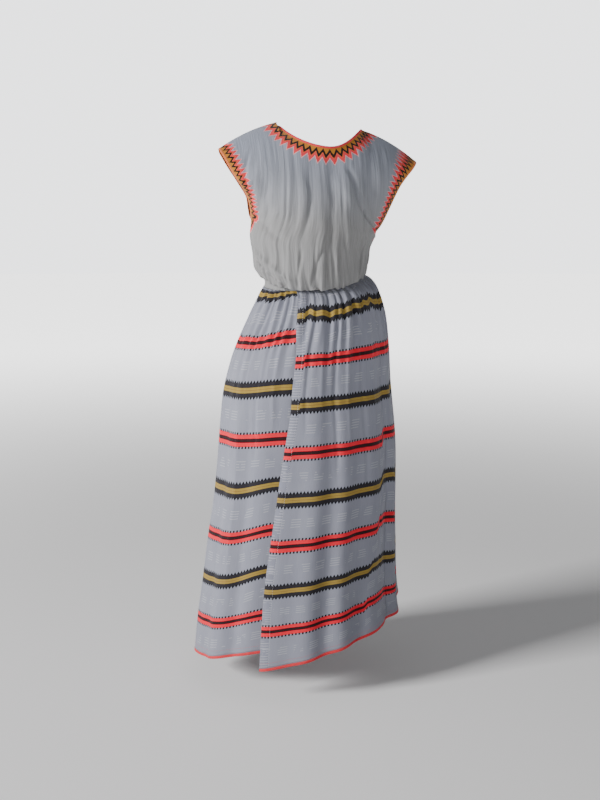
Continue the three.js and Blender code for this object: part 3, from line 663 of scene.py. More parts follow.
# Embroidery: how far its zigzags swing and how far its rows reach from the edge
ZIGZAG_INNER = 15.0
ZIGZAG_OUTER = 18.0
OUTER_REACH = 27.0
OUTER_BORDER = 3.4
ORANGE_REACH = 13.4
BLACK_REACH = 11.8
GOLD_ROW_REACH = 1.8
EMBROIDERY_PITCH = {"Neck": 16.6, "Cuff": 12.4}
# Distances from the cuffs' edges are scaled, so that the rows look as wide as in the photo
LEFT_CUFF_SCALE = 1.25
RIGHT_CUFF_SCALE = 0.74
RIGHT_CUFF_FADE = (40, 150)

# Rows and columns of the cloth meshes
SKIRT_ROWS = 190
OVER_COLUMNS = 150
UNDER_COLUMNS = 165
BACK_COLUMNS = 240
BODICE_ROWS = 150
BODICE_COLUMNS = 190
BODICE_U = 250

# How far up the under panel's cloth is drawn, against the over panel's, at its seam and its
# free edge
UNDER_SHIFT = rows_of(
    "drop seam edge",
    (0, 55, 74),
    (80, 53, 70),
    (200, 52, 59),
    (320, 34, 42),
    (440, 26, 33),
    (560, 15, 38),
    (680, 7, 29),
    (800, 3, 30),
    (920, -9, 6),
    (1024, -10, 4),
)
# The pleat on the right of the front: its angle, and how far it lifts the bands
PLEAT = rows_of(
    "drop angle lift",
    (0, 50, 0),
    (300, 50, 2),
    (440, 47, 17),
    (560, 43, 17),
    (680, 39, 13),
    (800, 32, 12),
    (920, 29, 12),
    (1024, 29, 8),
)
PLEAT_SPREAD = 1.8


# Meshes

def normals_of(points):
    """Unit normals of a grid of points, rows down and columns to the right as seen from outside."""
    down = np.gradient(points, axis=0)
    right = np.gradient(points, axis=1)
    return unit(np.cross(down, right))


def new_object(name, vertices, faces, material):
    mesh = bpy.data.meshes.new(name)
    mesh.from_pydata((np.asarray(vertices) * MM).tolist(), [], faces)
    mesh.polygons.foreach_set("use_smooth", [True] * len(mesh.polygons))
    mesh.materials.append(material)
    obj = bpy.data.objects.new(name, mesh)
    bpy.context.scene.collection.objects.link(obj)
    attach(obj, "root")
    return obj


def add_uv(obj, name, values):
    """One pair of millimetres for each vertex, kept in metres."""
    mesh = obj.data
    layer = mesh.uv_layers.new(name=name)
    corners = np.empty(len(mesh.loops), dtype=np.int32)
    mesh.loops.foreach_get("vertex_index", corners)
    layer.data.foreach_set("uv", (np.asarray(values) * MM)[corners].ravel())


def grid_faces(rows, columns, closed=False):
    last = columns if closed else columns - 1
    r, c = np.meshgrid(np.arange(rows - 1), np.arange(last), indexing="ij")
    top, below, following = r * columns, (r + 1) * columns, (c + 1) % columns
    quads = stacked(top + c, below + c, below + following, top + following)
    return quads.reshape(-1, 4).tolist()


def cloth_piece(name, points, uv, material, closed=False):
    faces = grid_faces(*points.shape[:2], closed)
    obj = new_object(name, points.reshape(-1, 3), faces, material)
    add_uv(obj, "Cloth", uv.reshape(-1, 2))
    shell = obj.modifiers.new("Thickness", "SOLIDIFY")
    shell.thickness = CLOTH_THICKNESS * MM
    shell.offset = -1
    return obj


def binding_piece(name, edge, normals, beyond, width, material, slot_name, closed):
    """A narrow strip folded round the edge of a cloth, swept along its points."""
    count, sides = len(edge), BINDING_SIDES
    turns = np.linspace(0, 2 * np.pi, sides, endpoint=False)
    reach = width / 2 + 0.8
    out, up = (np.sign(part) * np.abs(part) ** BINDING_SQUARENESS
               for part in (np.cos(turns), np.sin(turns)))
    out = out * reach + width / 2 - 0.4
    up = up * BINDING_THICKNESS / 2
    centre = edge - normals * CLOTH_THICKNESS / 2
    sections = centre[:, None] + beyond[:, None] * out[None, :, None]
    sections = sections + normals[:, None] * up[None, :, None]
    faces = []
    for i in range(count if closed else count - 1):
        here, ahead = i * sides, (i + 1) % count * sides
        for k in range(sides):
            n = (k + 1) % sides
            faces.append((here + k, here + n, ahead + n, ahead + k))
    if not closed:
        faces.append(tuple(range(sides)))
        faces.append(tuple(reversed(range((count - 1) * sides, count * sides))))
    obj = new_object(name, sections.reshape(-1, 3), faces, material)
    uv = stacked(lengths_along(edge)[:, None], np.arange(sides)[None, :] * 1.0)
    add_uv(obj, "Cloth", uv.reshape(-1, 2))
    return obj


def stitch_row(name, points, normals, pitch, length, material, slot_name, width=0.5, lift=0.25):
    """Short threads that lie on a line of points, each a low eight-sided bead drawn out."""
    place = lengths_along(points)
    count = int(place[-1] / pitch)
    starts = (np.arange(count) + 0.5) * pitch

    def found(values, where):
        return stacked(*[np.interp(where, place, values[:, k]) for k in range(3)])

    at = found(points, starts)
    forward = unit(found(points, starts + 0.5) - at)
    normal = found(normals, starts)
    side = np.cross(normal, forward)
    corners = [
        at - forward * length / 2, at + forward * length / 2,
        at + side * width, at - side * width, at + normal * (lift + width), at - normal * 0.3,
    ]
    vertices = np.stack(corners, axis=1).reshape(-1, 3)
    faces = []
    for first in range(0, count * 6, 6):
        for p, q in ((2, 4), (4, 3), (3, 5), (5, 2)):
            faces.append((first, first + p, first + q))
            faces.append((first + 1, first + q, first + p))
    return new_object(name, vertices, faces, material)


# Materials

class Shade:
    """A material and short calls for its nodes; numbers and sockets may stand for each other."""

    def __init__(self, name, roughness, sheen=0.0):
        self.material = bpy.data.materials.new(name)
        self.material.use_nodes = True
        self.tree = self.material.node_tree
        self.bsdf = self.tree.nodes["Principled BSDF"]
        self.bsdf.inputs["Roughness"].default_value = roughness
        self.bsdf.inputs["Specular IOR Level"].default_value = 0.25
        self.bsdf.inputs["Sheen Weight"].default_value = sheen
        self.bsdf.inputs["Sheen Roughness"].default_value = 0.5

    def node(self, kind, **settings):
        made = self.tree.nodes.new(kind)
        for key, value in settings.items():
            setattr(made, key, value)
        return made

    def link(self, value, socket):
        if isinstance(value, bpy.types.NodeSocket):
            self.tree.links.new(value, socket)
        else:
            socket.default_value = value

    def math(self, operation, a, b=0.0, c=0.0):
        made = self.node("ShaderNodeMath", operation=operation)
        for value, socket in zip((a, b, c), made.inputs):
            self.link(value, socket)
        return made.outputs[0]

    plus = partialmethod(math, "ADD")
    minus = partialmethod(math, "SUBTRACT")
    times = partialmethod(math, "MULTIPLY")
    times_plus = partialmethod(math, "MULTIPLY_ADD")
    less = partialmethod(math, "LESS_THAN")
    more = partialmethod(math, "GREATER_THAN")
    most = partialmethod(math, "MAXIMUM")
    size = partialmethod(math, "ABSOLUTE")
    wrapped = partialmethod(math, "FLOORED_MODULO")

    def uv(self, name):
        """The two coordinates of a cloth map, in millimetres."""
        made = self.node("ShaderNodeUVMap", uv_map=name)
        split = self.node("ShaderNodeSeparateXYZ")
        self.tree.links.new(made.outputs[0], split.inputs[0])
        return [self.times(split.outputs[k], 1 / MM) for k in range(2)]

    def vector(self, x, y, z=0.0):
        made = self.node("ShaderNodeCombineXYZ")
        for value, socket in zip((x, y, z), made.inputs):
            self.link(value, socket)
        return made.outputs[0]

    def noise(self, x, y, scale_x, scale_y, detail=2.0, seed=0.0):
        """Soft noise from 0 to 1; the scales say how many times it changes in a millimetre."""
        place = self.vector(self.times(x, scale_x), self.times(y, scale_y), seed)
        made = self.node("ShaderNodeTexNoise")
        self.tree.links.new(place, made.inputs["Vector"])
        made.inputs["Scale"].default_value = 1.0
        made.inputs["Detail"].default_value = detail
        return made.outputs["Fac"]

    def between(self, value, low, high):
        """1 where the value is from low to high, 0 elsewhere."""
        return self.times(self.more(value, low), self.less(value, high))

    def ramp(self, value, low, high, start=0.0, end=1.0):
        """Goes smoothly from start, where the value is low, to end, where it is high."""
        made = self.node("ShaderNodeMapRange", interpolation_type="SMOOTHSTEP")
        for number, socket in zip((value, low, high, start, end), made.inputs):
            self.link(number, socket)
        return made.outputs[0]

    def part(self, value, pitch):
        """Rises from 0 to 1 in each pitch."""
        return self.math("FRACT", self.math("DIVIDE", value, pitch))

    def zigzag(self, value, pitch):
        """Falls from 1 to 0 and rises back once in each pitch."""
        return self.size(self.times_plus(self.part(value, pitch), 2.0, -1.0))

    def wave(self, value, pitch):
        """A sine that repeats in each pitch."""
        return self.math("SINE", self.times(value, 2 * math.pi / pitch))

    def blend(self, share, a, b, kind="MIX"):
        made = self.node("ShaderNodeMix", data_type="RGBA", blend_type=kind)
        self.link(share, made.inputs[0])
        for value, socket in ((a, made.inputs[6]), (b, made.inputs[7])):
            plain = not isinstance(value, bpy.types.NodeSocket)
            self.link((*value, 1.0) if plain else value, socket)
        return made.outputs[2]

    def finish(self, colour, height=None, distance=0.4, strength=1.0):
        self.link(colour, self.bsdf.inputs["Base Color"])
        if height is not None:
            bump = self.node("ShaderNodeBump")
            bump.inputs["Distance"].default_value = distance * MM
            bump.inputs["Strength"].default_value = strength
            self.link(height, bump.inputs["Height"])
            self.link(bump.outputs[0], self.bsdf.inputs["Normal"])
        return self.material


def weave(shade, u, v, pitch=0.9):
    """Plain weave of over and under threads, from 0 to 1."""
    return shade.times_plus(shade.times(shade.wave(u, pitch), shade.wave(v, pitch)), 0.5, 0.5)


def brighter(tone, factor, more):
    return [min(1, part * factor + more) for part in tone]


WHITE_BRIGHT = (0.320, 0.330, 0.388)
WHITE_SHADE = (0.185, 0.192, 0.245)
# Painted shade for the hollows of the puckers under the waist
PUCKER_PAINTED_SHADE = (0.12, 0.12, 0.145)
# Painted shade for the turned strip at the over panel's free edge
STRIP_PAINTED_SHADE = (0.15, 0.155, 0.205)
DASH_WHITE = (0.60, 0.61, 0.65)
CHARCOAL = (0.014, 0.012, 0.017)
NAVY_BLACK = (0.002, 0.002, 0.005)
GOLD = (0.32, 0.215, 0.040)
GOLD_LINE = (0.20, 0.10, 0.025)
RED = (0.80, 0.014, 0.032)
MAROON = (0.020, 0.001, 0.003)
DOT_BLACK = (0.003, 0.001, 0.003)
GAUZE = (0.222, 0.223, 0.228)
# The next two: painted light on the gauze crinkles' ridges and painted shade in their hollows
GAUZE_PAINTED_LIGHT = (0.325, 0.325, 0.328)
GAUZE_PAINTED_SHADE = (0.120, 0.118, 0.116)
# Painted light: the upper part of the gauze lighter and bluer
GAUZE_UPPER_PAINTED_LIGHT = (0.236, 0.264, 0.342)
EMBROIDERY_GOLD = (0.42, 0.155, 0.014)
EMBROIDERY_ORANGE = (0.62, 0.17, 0.020)
EMBROIDERY_BLACK = (0.006, 0.002, 0.003)
EMBROIDERY_CORAL = (0.66, 0.038, 0.048)
EMBROIDERY_PALE = (0.62, 0.34, 0.36)


def cotton_ground(shade, u, v, streak):
    """Colour and height of the plain cloth, with uneven threads."""
    cloud = shade.noise(u, v, 0.02, 0.012, seed=4.0)
    threads = shade.noise(u, v, 0.05, 1.1, seed=9.0)
    colour = shade.blend(streak, WHITE_SHADE, WHITE_BRIGHT)
    colour = shade.blend(0.55, colour, shade.blend(cloud, WHITE_SHADE, WHITE_BRIGHT))
    colour = shade.blend(shade.times(threads, 0.18), colour, WHITE_BRIGHT)
    return colour, shade.times_plus(streak, 0.9, shade.times(weave(shade, u, v), 0.5))


def waist_puckers(shade, u, v, colour, height):
    """Close puckers under the waist, with painted shade darkening their hollows."""
    near = shade.ramp(v, 15.0, 75.0, 1.0, 0.0)
    pucker = shade.times(shade.noise(u, v, 0.16, 0.012, detail=1.0, seed=12.0), near)
    # Painted shade: the cloth darker in the puckers' hollows
    colour = shade.blend(shade.times(pucker, 0.8), colour, PUCKER_PAINTED_SHADE)
    return colour, shade.times_plus(pucker, -9.0, height)


def woven_dashes(shade, u, v, count, strip, colour, height):
    """Grouped dashes half way between bands; broken lines and painted shade on the turned strip."""
    between = shade.wrapped(shade.plus(v, BAND_SPACING - BAND_FIRST), BAND_SPACING)
    between = shade.minus(between, BAND_SPACING / 2)
    rows = shade.between(shade.size(between), -1.0, 14.0)
    stack = shade.less(shade.zigzag(between, 6.4), 0.34)
    group = shade.between(shade.part(count, 41.0), 0.18, 0.78)
    chance = shade.more(shade.noise(u, v, 0.03, 0.02, detail=0.0, seed=2.0), 0.44)
    dashes = shade.times(shade.times(rows, stack), shade.times(group, chance))
    if strip is not None:
        lines = shade.less(shade.zigzag(v, 7.2), 0.3)
        broken = shade.more(shade.noise(u, v, 0.02, 0.03, detail=0.0, seed=7.0), 0.46)
        dashes = shade.most(dashes, shade.times(shade.times(lines, strip), broken))
        # Painted shade: the turned strip darker, as it turns away from the light
        colour = shade.blend(shade.times(strip, 0.5), colour, STRIP_PAINTED_SHADE)
    colour = shade.blend(shade.times(dashes, 0.34), colour, DASH_WHITE)
    return colour, shade.times_plus(dashes, 0.8, height)


def woven_bands(shade, u, v, count, streak, colour, height):
    """Bands across the cloth: a dark one with teeth and a red one with dots, in turn."""
    turn = shade.wrapped(shade.minus(v, BAND_FIRST - BAND_SPACING / 2), 2 * BAND_SPACING)
    shown = shade.less(v, LAST_BAND_END)
    wobble = shade.times(shade.minus(shade.noise(u, v, 0.25, 0.25, seed=5.0), 0.5), 0.9)
    below_dark = shade.minus(turn, BAND_SPACING / 2)
    dark = shade.plus(shade.size(below_dark), wobble)
    red = shade.plus(shade.size(shade.minus(turn, BAND_SPACING * 1.5)), wobble)
    tooth_edge = shade.times_plus(shade.zigzag(count, TOOTH_PITCH), TOOTH_HEIGHT, DARK_REACH)
    square = shade.between(shade.part(count, TOOTH_PITCH), *DOT_SHARE)
    layers = (
        (shade.less(shade.minus(dark, tooth_edge), 0.0), NAVY_BLACK),
        (shade.less(dark, DARK_REACH), CHARCOAL),
        (shade.less(dark, GOLD_REACH), GOLD),
        (shade.between(below_dark, *GOLD_LINE_PLACE), GOLD_LINE),
        (shade.less(red, RED_REACH), RED),
        (shade.less(red, MAROON_REACH), MAROON),
        (shade.times(shade.between(red, *DOT_REACH), square), DOT_BLACK),
    )
    raised = 0.0
    for mask, tone in layers:
        mask = shade.times(mask, shown)
        worn = shade.blend(shade.times(streak, 0.22), tone, brighter(tone, 1.5, 0.02))
        colour = shade.blend(mask, colour, worn)
        raised = shade.most(raised, mask)
    ribbed = shade.times_plus(shade.wave(v, RIB_PITCH), 0.18, 0.7)
    return colour, shade.times_plus(raised, ribbed, height)


def woven_cotton(name, turned=False):
    """Thin cotton with woven bands, small white dashes between them and uneven threads."""
    shade = Shade(name, roughness=0.86, sheen=0.12)
    u, v = shade.uv("Cloth")
    count = shade.uv("Band")[0]
    strip = None
    if turned:
        strip = shade.less(count, TURNED_STRIP)
        v = shade.times_plus(strip, shade.ramp(v, 320.0, 600.0, -STRIP_SAG, 1.0), v)
    streak = shade.noise(u, v, 0.55, 0.006, detail=3.0)
    colour, height = cotton_ground(shade, u, v, streak)
    colour, height = waist_puckers(shade, u, v, colour, height)
    colour, height = woven_dashes(shade, u, v, count, strip, colour, height)
    colour, height = woven_bands(shade, u, v, count, streak, colour, height)
    return shade.finish(colour, height, distance=0.35, strength=0.8)


def gauze_ground(shade, u, v):
    """Colour and height of the crinkled gauze, its colour with painted light and painted shade."""
    bent = shade.times_plus(shade.noise(u, v, 0.03, 0.012, seed=3.0), 14.0, u)
    fine = shade.noise(bent, v, 0.42, 0.016, detail=4.0)
    broad = shade.noise(bent, v, 0.11, 0.007, detail=3.0, seed=6.0)
    grain = shade.noise(u, v, 1.6, 0.25, detail=1.0, seed=8.0)
    # Painted light and shade of the crinkles: lighter on their ridges, darker in their hollows
    painted_crinkle_shading = shade.times_plus(broad, 0.6, shade.times(fine, 0.6))
    colour = shade.blend(painted_crinkle_shading, GAUZE_PAINTED_SHADE, GAUZE_PAINTED_LIGHT)
    colour = shade.blend(shade.times(grain, 0.3), colour, GAUZE)
    # Painted light: the gauze lighter and bluer on its upper part, towards the neck and shoulders
    colour = shade.blend(shade.times(shade.ramp(v, 180, 420), 0.75), colour, GAUZE_UPPER_PAINTED_LIGHT)
    height = shade.times_plus(fine, 3.4, shade.times(broad, 4.0))
    return colour, shade.times_plus(weave(shade, u, v, 0.8), 0.12, height)


def embroidery(shade, colour, height, edge):
    """Zigzag rows along an edge, whose map holds the place along it and the distance from it."""
    place, depth = shade.uv(edge)
    zigzag = shade.zigzag(place, EMBROIDERY_PITCH[edge])
    uneven = shade.minus(shade.noise(place, depth, 0.3, 0.3, seed=1.0), 0.5)
    stitched = shade.times_plus(uneven, 1.6, depth)
    inner = shade.times_plus(zigzag, -ZIGZAG_INNER, stitched)
    outer = shade.times_plus(zigzag, -ZIGZAG_OUTER, stitched)
    inside = shade.more(depth, -2.0)
    rows = (
        (outer, OUTER_REACH, EMBROIDERY_PALE),
        (outer, OUTER_REACH - OUTER_BORDER, EMBROIDERY_CORAL),
        (inner, ORANGE_REACH, EMBROIDERY_ORANGE),
        (inner, BLACK_REACH, EMBROIDERY_BLACK),
        (inner, GOLD_ROW_REACH, EMBROIDERY_GOLD),
    )
    thread = shade.wave(shade.plus(depth, place), 1.1)
    raised = shade.times(shade.less(outer, OUTER_REACH), inside)
    for level, reach, tone in rows:
        mask = shade.times(shade.less(level, reach), inside)
        lit = shade.blend(shade.times_plus(thread, 0.12, 0.12), tone, brighter(tone, 1.6, 0.005))
        colour = shade.blend(mask, colour, lit)
    flat = shade.times(height, shade.minus(1.0, raised))
    stitches = shade.times(raised, shade.times_plus(thread, 0.25, 2.6))
    return colour, shade.plus(flat, stitches)


def crinkled_gauze(name, edges=()):
    shade = Shade(name, roughness=0.9, sheen=0.15)
    colour, height = gauze_ground(shade, *shade.uv("Cloth"))
    for edge in edges:
        colour, height = embroidery(shade, colour, height, edge)
    return shade.finish(colour, height, distance=0.5, strength=0.7)


def trim_thread(name, tone, dark):
    """Bias binding: slanting threads in a close twill."""
    shade = Shade(name, roughness=0.72, sheen=0.2)
    u, v = shade.uv("Cloth")
    slant = shade.math("SINE", shade.times_plus(u, 2 * math.pi / 1.3, v))
    patch = shade.noise(u, v, 0.12, 0.5)
    height = shade.times_plus(slant, 0.4, patch)
    return shade.finish(shade.blend(patch, dark, tone), height, distance=0.3, strength=0.8)


cotton = woven_cotton("Woven_cotton")
cotton_strip = woven_cotton("Woven_cotton_edge", turned=True)
gauze = crinkled_gauze("Crinkled_gauze")
gauze_trimmed = crinkled_gauze("Embroidered_gauze", edges=("Neck", "Cuff"))
red_binding = trim_thread("Red_binding", (0.80, 0.045, 0.055), (0.52, 0.02, 0.03))
gold_binding = trim_thread("Orange_binding", (0.78, 0.22, 0.05), (0.55, 0.10, 0.03))
sewing_thread = trim_thread("Sewing_thread", (0.66, 0.67, 0.70), (0.50, 0.51, 0.55))


# Skirt

def drop_rows():
    share = np.linspace(0, 1, SKIRT_ROWS)
    return HEM_DROP * (0.35 * share ** 2 + 0.65 * share)


def pleat_lift(angle, drop):
    line = along(PLEAT, "drop", "angle", drop)
    lift = along(PLEAT, "drop", "lift", drop)
    right = np.where(angle > line, 1.0, bell(angle - line, PLEAT_SPREAD))
    fade = 1 - smoothstep(line + 8, line + 26, angle)
    return lift * right * fade


def skirt_panel(name, surface, left, right, columns, material, shift):
    drops = drop_rows()[:, None]
    angles = mix(left(drops), right(drops), np.linspace(0, 1, columns)[None, :])
    u = np.radians(angles - left(drops)) * WEFT_RADIUS
    drops = np.broadcast_to(drops, angles.shape)
    points = surface(angles, drops)
    v = drops + shift(angles, drops) + band_sag(angles, drops)
    obj = cloth_piece(name, points, stacked(u, v), material)

    # Warp threads counted along the cloth, fewer where it turns sharply
    across = np.linalg.norm(np.diff(points[:, :, :2], axis=1), axis=-1)
    ring = np.radians(np.diff(angles, axis=1)) * (skirt_value("half_width", drops[:, 1:]) - 12)
    count = np.cumsum(np.minimum(across, 1.25 * ring), axis=1)
    count = np.concatenate([np.zeros((SKIRT_ROWS, 1)), count], axis=1)
    add_uv(obj, "Band", stacked(count, drops).reshape(-1, 2))
    return obj, points


def under_shift(angle, drop):
    at_seam = along(UNDER_SHIFT, "drop", "seam", drop)
    at_edge = along(UNDER_SHIFT, "drop", "edge", drop)
    return mix(at_seam, at_edge, smoothstep(-66, -33, angle))


def back_shift(angle, drop):
    """The back's bands meet the over panel's at the right seam, the under panel's at the left."""
    return pleat_lift(angle, drop) + mix(0, under_shift(-112, drop), smoothstep(60, 240, angle))


def edge_angle(drop):
    return skirt_value("edge", drop)


HALF_GAP = 0.06

PANELS = (
    ("over", over_point, edge_angle, lambda drop: RIGHT_SEAM - HALF_GAP + 0 * drop, OVER_COLUMNS,
     cotton_strip, pleat_lift),
    ("under", under_point, lambda drop: LEFT_SEAM + HALF_GAP + 0 * drop,
     lambda drop: edge_angle(drop) + UNDERLAP_ANGLE, UNDER_COLUMNS, cotton, under_shift),
    ("back", back_point, lambda drop: RIGHT_SEAM + HALF_GAP + 0 * drop,
     lambda drop: LEFT_SEAM + 360 - HALF_GAP + 0 * drop, BACK_COLUMNS, cotton, back_shift),
)


def hem_directions(points):
    """Normals along the lower edge, and the ways on down from the cloth there."""
    normals = normals_of(points)[-1]
    return normals, unit(square_to(points[-1] - points[-3], normals))


red_trim = (red_binding, "red_trim")
for label, surface, left, right, columns, material, shift in PANELS:
    panel, points = skirt_panel(f"Skirt_{label}", surface, left, right, columns, material, shift)
    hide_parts(f"skirt_{label}")
    hem = binding_piece(
        f"Hem_binding_{label}", points[-1], *hem_directions(points), HEM_BINDING_WIDTH,
        *red_trim, False,
    )
    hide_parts(f"hem_binding_{label}")
    normals = normals_of(points)
    stitches = stitch_row(f"Hem_stitches_{label}", points[-3], normals[-3], 4.2, 2.8, *red_trim)
    if label == "over":
        strip_angle = TURNED_STRIP / WEFT_RADIUS / np.radians(RIGHT_SEAM + 30)
        at = int(round(strip_angle * OVER_COLUMNS))
        line = (points[:, at], normals[:, at])
        stitch_row("Edge_stitches", *line, 4.5, 3, sewing_thread, "cotton")


# Bodice

def nearest_on(line, points):
    """For each point, the length along the line to its nearest place, and the distance to it."""
    starts, ends = line[:-1], line[1:]
    spans = ends - starts
    lengths = np.linalg.norm(spans, axis=1)
    before = lengths_along(line)[:-1]
    best = np.full(len(points), 1e9)
    place = np.zeros(len(points))
    for start, span, length, so_far in zip(starts, spans, lengths, before):
        share = np.clip(((points - start) @ span) / length / length, 0, 1)
        apart = np.linalg.norm(points - start - share[:, None] * span, axis=1)
        nearer = apart < best
        best = np.where(nearer, apart, best)
        place = np.where(nearer, so_far + share * length, place)
    return place, best


def soft_noise(x, y, seed):
    """Smooth noise from -1 to 1 on a seeded lattice."""
    lattice = np.random.RandomState(seed).uniform(-1, 1, (256, 256))
    column, row = np.floor(x).astype(int), np.floor(y).astype(int)
    share_x, share_y = x - column, y - row
    share_x = share_x * share_x * (3 - 2 * share_x)
    share_y = share_y * share_y * (3 - 2 * share_y)
    corner = [[lattice[(row + j) % 256, (column + i) % 256] for i in (0, 1)] for j in (0, 1)]
    upper = mix(corner[0][0], corner[0][1], share_x)
    lower = mix(corner[1][0], corner[1][1], share_x)
    return mix(upper, lower, share_y)


def thread_place(points, s, run):
    """Where across the cloth a wrinkle passes, so that wrinkles run straight up from the waist."""
    left, right = BODICE_RINGS[-1]["left"][0], BODICE_RINGS[-1]["right"][0]
    across = (points[..., 0] - (left + right) / 2) / ((right - left) / 2)
    bent = np.arcsin(0.93 * np.clip(across, -1, 1)) / math.asin(0.93)
    straight = bent + 0.8 * np.sign(across) * np.maximum(np.abs(across) - 1, 0)
    return mix(s, straight, smoothstep(130, 240, run))


# Wrinkles of the gauze: their width, length and depth, how much deeper they are low down, and
# whether they come and go in patches
WRINKLES = rows_of(
    "width length depth deeper patchy seed",
    (4.1, 75, 1.15, 0.6, True, 21),
    (9, 130, 1.35, 2.0, False, 31),
    (23, 180, 1.7, 0, False, 41),
)


def crinkle_offset(place, run, side):
    """Fine uneven wrinkles that run up the gauze, deeper over the casing."""
    across = place * BODICE_U + 7 * soft_noise(place * 5, run / 110, 11 + side)
    low = 1 - smoothstep(30, 230, run)
    patch = 0.75 + 0.45 * soft_noise(place * 4, run / 70, 51 + side)
    offset = 0
    for kind in WRINKLES:
        depth = (kind["depth"] + kind["deeper"] * low) * (patch if kind["patchy"] else 1)
        noise = soft_noise(across / kind["width"], run / kind["length"], kind["seed"] + side)
        offset = offset + depth * noise
    quiet = 1 - smoothstep(TOP_RUN - 55, TOP_RUN - 10, run)
    calm = mix(0.5, 1, 1 - smoothstep(250, 390, run))
    return smoothstep(0, 10, run) * quiet * calm * offset


def cuff_map(points, runs, side):
    """The place along the nearer cuff and the distance from it, for each point."""
    rows = runs > ARM_RUN - 2
    left, right = (0, -1) if side < 0 else (-1, 0)
    flat = points.reshape(-1, 3)
    left_place, left_apart = nearest_on(points[rows, left][::2], flat)
    right_place, right_apart = nearest_on(points[rows, right][::2], flat)
    left_apart = left_apart * LEFT_CUFF_SCALE
    right_apart = right_apart * mix(RIGHT_CUFF_SCALE, 1, smoothstep(*RIGHT_CUFF_FADE, right_place))
    place = np.where(left_apart < right_apart, left_place, right_place)
    return stacked(place, np.minimum(left_apart, right_apart))


def bodice_panel(name, side):
    share = np.linspace(0, 1, BODICE_ROWS)
    runs = TOP_RUN * (1 - (0.72 * share + 0.28 * share ** 2))
    runs[-1] = 0
    places = -side * np.linspace(-1, 1, BODICE_COLUMNS)
    points = bodice_surface(places, runs, side)
    s, run = np.meshgrid(places, runs)
    offset = bodice_offset(s, run, side)
    phi = s * np.pi / 2
    points[..., 0] += offset * np.sin(phi) * SIDE_PUSH
    points[..., 1] += side * (offset * np.cos(phi * SIDE_PUSH) + SEAM_GAP / 2)
    place = thread_place(points, s, run)
    wrinkled = crinkle_offset(place, run, side) * (1 - s ** 8)
    points = points + normals_of(points) * wrinkled[..., None]
    uv = stacked(place * BODICE_U * -side, run)
    obj = cloth_piece(name, points, uv, gauze_trimmed)
    open_neck = np.abs(places) <= NECK_SHARE + 0.003
    add_uv(obj, "Neck", stacked(*nearest_on(points[0][open_neck], points.reshape(-1, 3))))
    add_uv(obj, "Cuff", cuff_map(points, runs, side))
    return obj, points, places, runs


front, front_points, front_places, runs = bodice_panel("Bodice_front", -1)
back, back_points, back_places, runs = bodice_panel("Bodice_back", 1)
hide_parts("bodice_front")
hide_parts("bodice_back")


def loop_frames(parts, outward):
    """A ring's points, normals and ways off the cloth, which outward gives their sign."""
    edge, normals = (np.concatenate(values) for values in zip(*parts))
    tangents = unit(np.roll(edge, -1, axis=0) - np.roll(edge, 1, axis=0))
    normals = unit(square_to(normals, tangents))
    return edge, normals, outward * np.cross(tangents, normals)


front_normals, back_normals = normals_of(front_points), normals_of(back_points)


def neck_ring():
    inner_front = np.abs(front_places) < NECK_SHARE - 0.004
    inner_back = np.abs(back_places) < NECK_SHARE - 0.004
    return loop_frames([
        (front_points[0][inner_front], front_normals[0][inner_front]),
        (back_points[0][inner_back], back_normals[0][inner_back]),
    ], -1)


def cuff_ring(front_column, back_column, outward):
    rows = (runs > ARM_RUN + 2) & (runs < TOP_RUN - 1)
    return loop_frames([
        (front_points[rows, front_column][::-2], front_normals[rows, front_column][::-2]),
        (back_points[rows, back_column][::2], back_normals[rows, back_column][::2]),
    ], outward)


neck = binding_piece("Neck_binding", *neck_ring(), BINDING_WIDTH, red_binding, "red_trim", True)
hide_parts("neck_binding")
for label, ring in (("left", cuff_ring(0, -1, -1)), ("right", cuff_ring(-1, 0, 1))):
    cuff = binding_piece(
        f"Cuff_binding_{label}", *ring, BINDING_WIDTH, gold_binding, "gold_trim", True
    )
    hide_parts(f"cuff_binding_{label}")


# Waist casing

def casing_piece():
    angles = np.linspace(0, 360, 720, endpoint=False)[None, :]
    rise = np.linspace(CASING_HEIGHT / 2 - 0.2, -CASING_HEIGHT / 2 + 0.2, 13)[:, None]
    level = rise / (CASING_HEIGHT / 2)
    phi = np.radians(angles)
    pucker = np.sin(86 * phi + 2 * np.sin(5 * phi)) * (0.7 + 0.3 * np.sin(13 * phi))
    offset = -1.7 * (1 - level ** 2) + 0.8 * pucker * np.abs(level) ** 1.5 - 0.9
    points = waist_point(angles, rise, offset)
    uv = stacked(phi * 118, rise)
    return cloth_piece("Waist_casing", points, uv, gauze, closed=True), points


casing, casing_points = casing_piece()
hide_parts("waist_casing")


# Studio, in metres

FLOOR_Z = -1.47
FLOOR_RADIUS = 30
# How the floor's own light grows with the distance from the dress
GLOW_FROM = (1.2, 9.0)
GLOW_STRENGTH = (0.1, 2.6)
WORLD_STRENGTH = {"lighting": 0.13, "seen": 2.7}
LIGHT_TARGET = (0, 0, -0.7)
LIGHTS = rows_of(
    "name place size energy tone",
    ("Key", (-8.9, -1.9, 3.2), 2.4, 1480, (1.0, 0.99, 0.98)),
    ("Fill", (1.2, -4.4, 0.9), 2.2, 6, (0.95, 0.97, 1.0)),
)
CAMERA = {"place": (-0.7858, -2.7400, -0.2735), "tilt": 81.1, "turn": -15, "lens": 48, "sensor": 36}


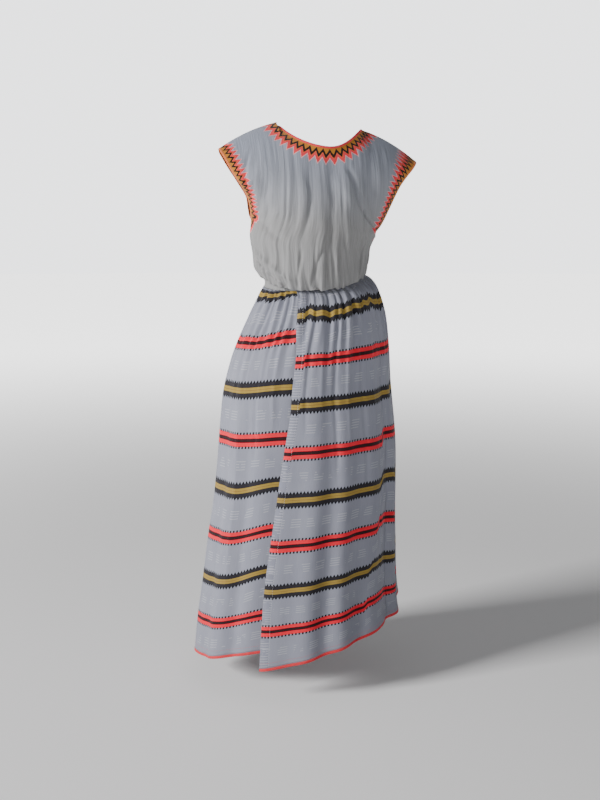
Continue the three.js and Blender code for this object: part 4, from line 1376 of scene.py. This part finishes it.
def pale_floor():
    bpy.ops.mesh.primitive_circle_add(
        vertices=96, radius=FLOOR_RADIUS, fill_type="NGON", location=(0, 0, FLOOR_Z)
    )
    floor = bpy.context.object
    floor.name = "Floor"
    shade = Shade("Pale_floor", roughness=0.95)
    grain = shade.node("ShaderNodeTexNoise")
    grain.inputs["Scale"].default_value = 40.0
    colour = shade.blend(grain.outputs["Fac"], (0.84, 0.84, 0.85), (0.88, 0.88, 0.89))
    away = shade.node("ShaderNodeVectorMath", operation="LENGTH")
    shade.link(shade.node("ShaderNodeTexCoord").outputs["Object"], away.inputs[0])
    shade.bsdf.inputs["Emission Color"].default_value = (1, 1, 1, 1)
    glow = shade.ramp(away.outputs["Value"], *GLOW_FROM, *GLOW_STRENGTH)
    shade.link(glow, shade.bsdf.inputs["Emission Strength"])
    floor.data.materials.append(shade.finish(colour))


def studio_world():
    """A world that lights the dress weakly and that the camera sees bright."""
    world = bpy.data.worlds.new("Studio")
    world.use_nodes = True
    tree = world.node_tree
    background = tree.nodes["Background"].inputs
    background["Color"].default_value = (0.97, 0.98, 1.0, 1)
    seen = tree.nodes.new("ShaderNodeLightPath").outputs["Is Camera Ray"]
    strength = tree.nodes.new("ShaderNodeMapRange")
    strength.inputs["To Min"].default_value = WORLD_STRENGTH["lighting"]
    strength.inputs["To Max"].default_value = WORLD_STRENGTH["seen"]
    tree.links.new(seen, strength.inputs["Value"])
    tree.links.new(strength.outputs["Result"], background["Strength"])
    bpy.context.scene.world = world


def area_light(name, place, size, energy, tone):
    data = bpy.data.lights.new(name, "AREA")
    data.size = size
    data.energy = energy
    data.color = tone
    light = bpy.data.objects.new(name, data)
    light.location = place
    direction = Vector(LIGHT_TARGET) - Vector(place)
    light.rotation_euler = direction.to_track_quat("-Z", "Y").to_euler()
    bpy.context.scene.collection.objects.link(light)


def camera():
    data = bpy.data.cameras.new("Camera")
    data.lens = CAMERA["lens"]
    data.sensor_width = CAMERA["sensor"]
    view = bpy.data.objects.new("Camera", data)
    view.location = CAMERA["place"]
    view.rotation_euler = (math.radians(CAMERA["tilt"]), 0, math.radians(CAMERA["turn"]))
    bpy.context.scene.collection.objects.link(view)
    bpy.context.scene.camera = view


pale_floor()
studio_world()
for light in LIGHTS:
    area_light(**light)
camera()
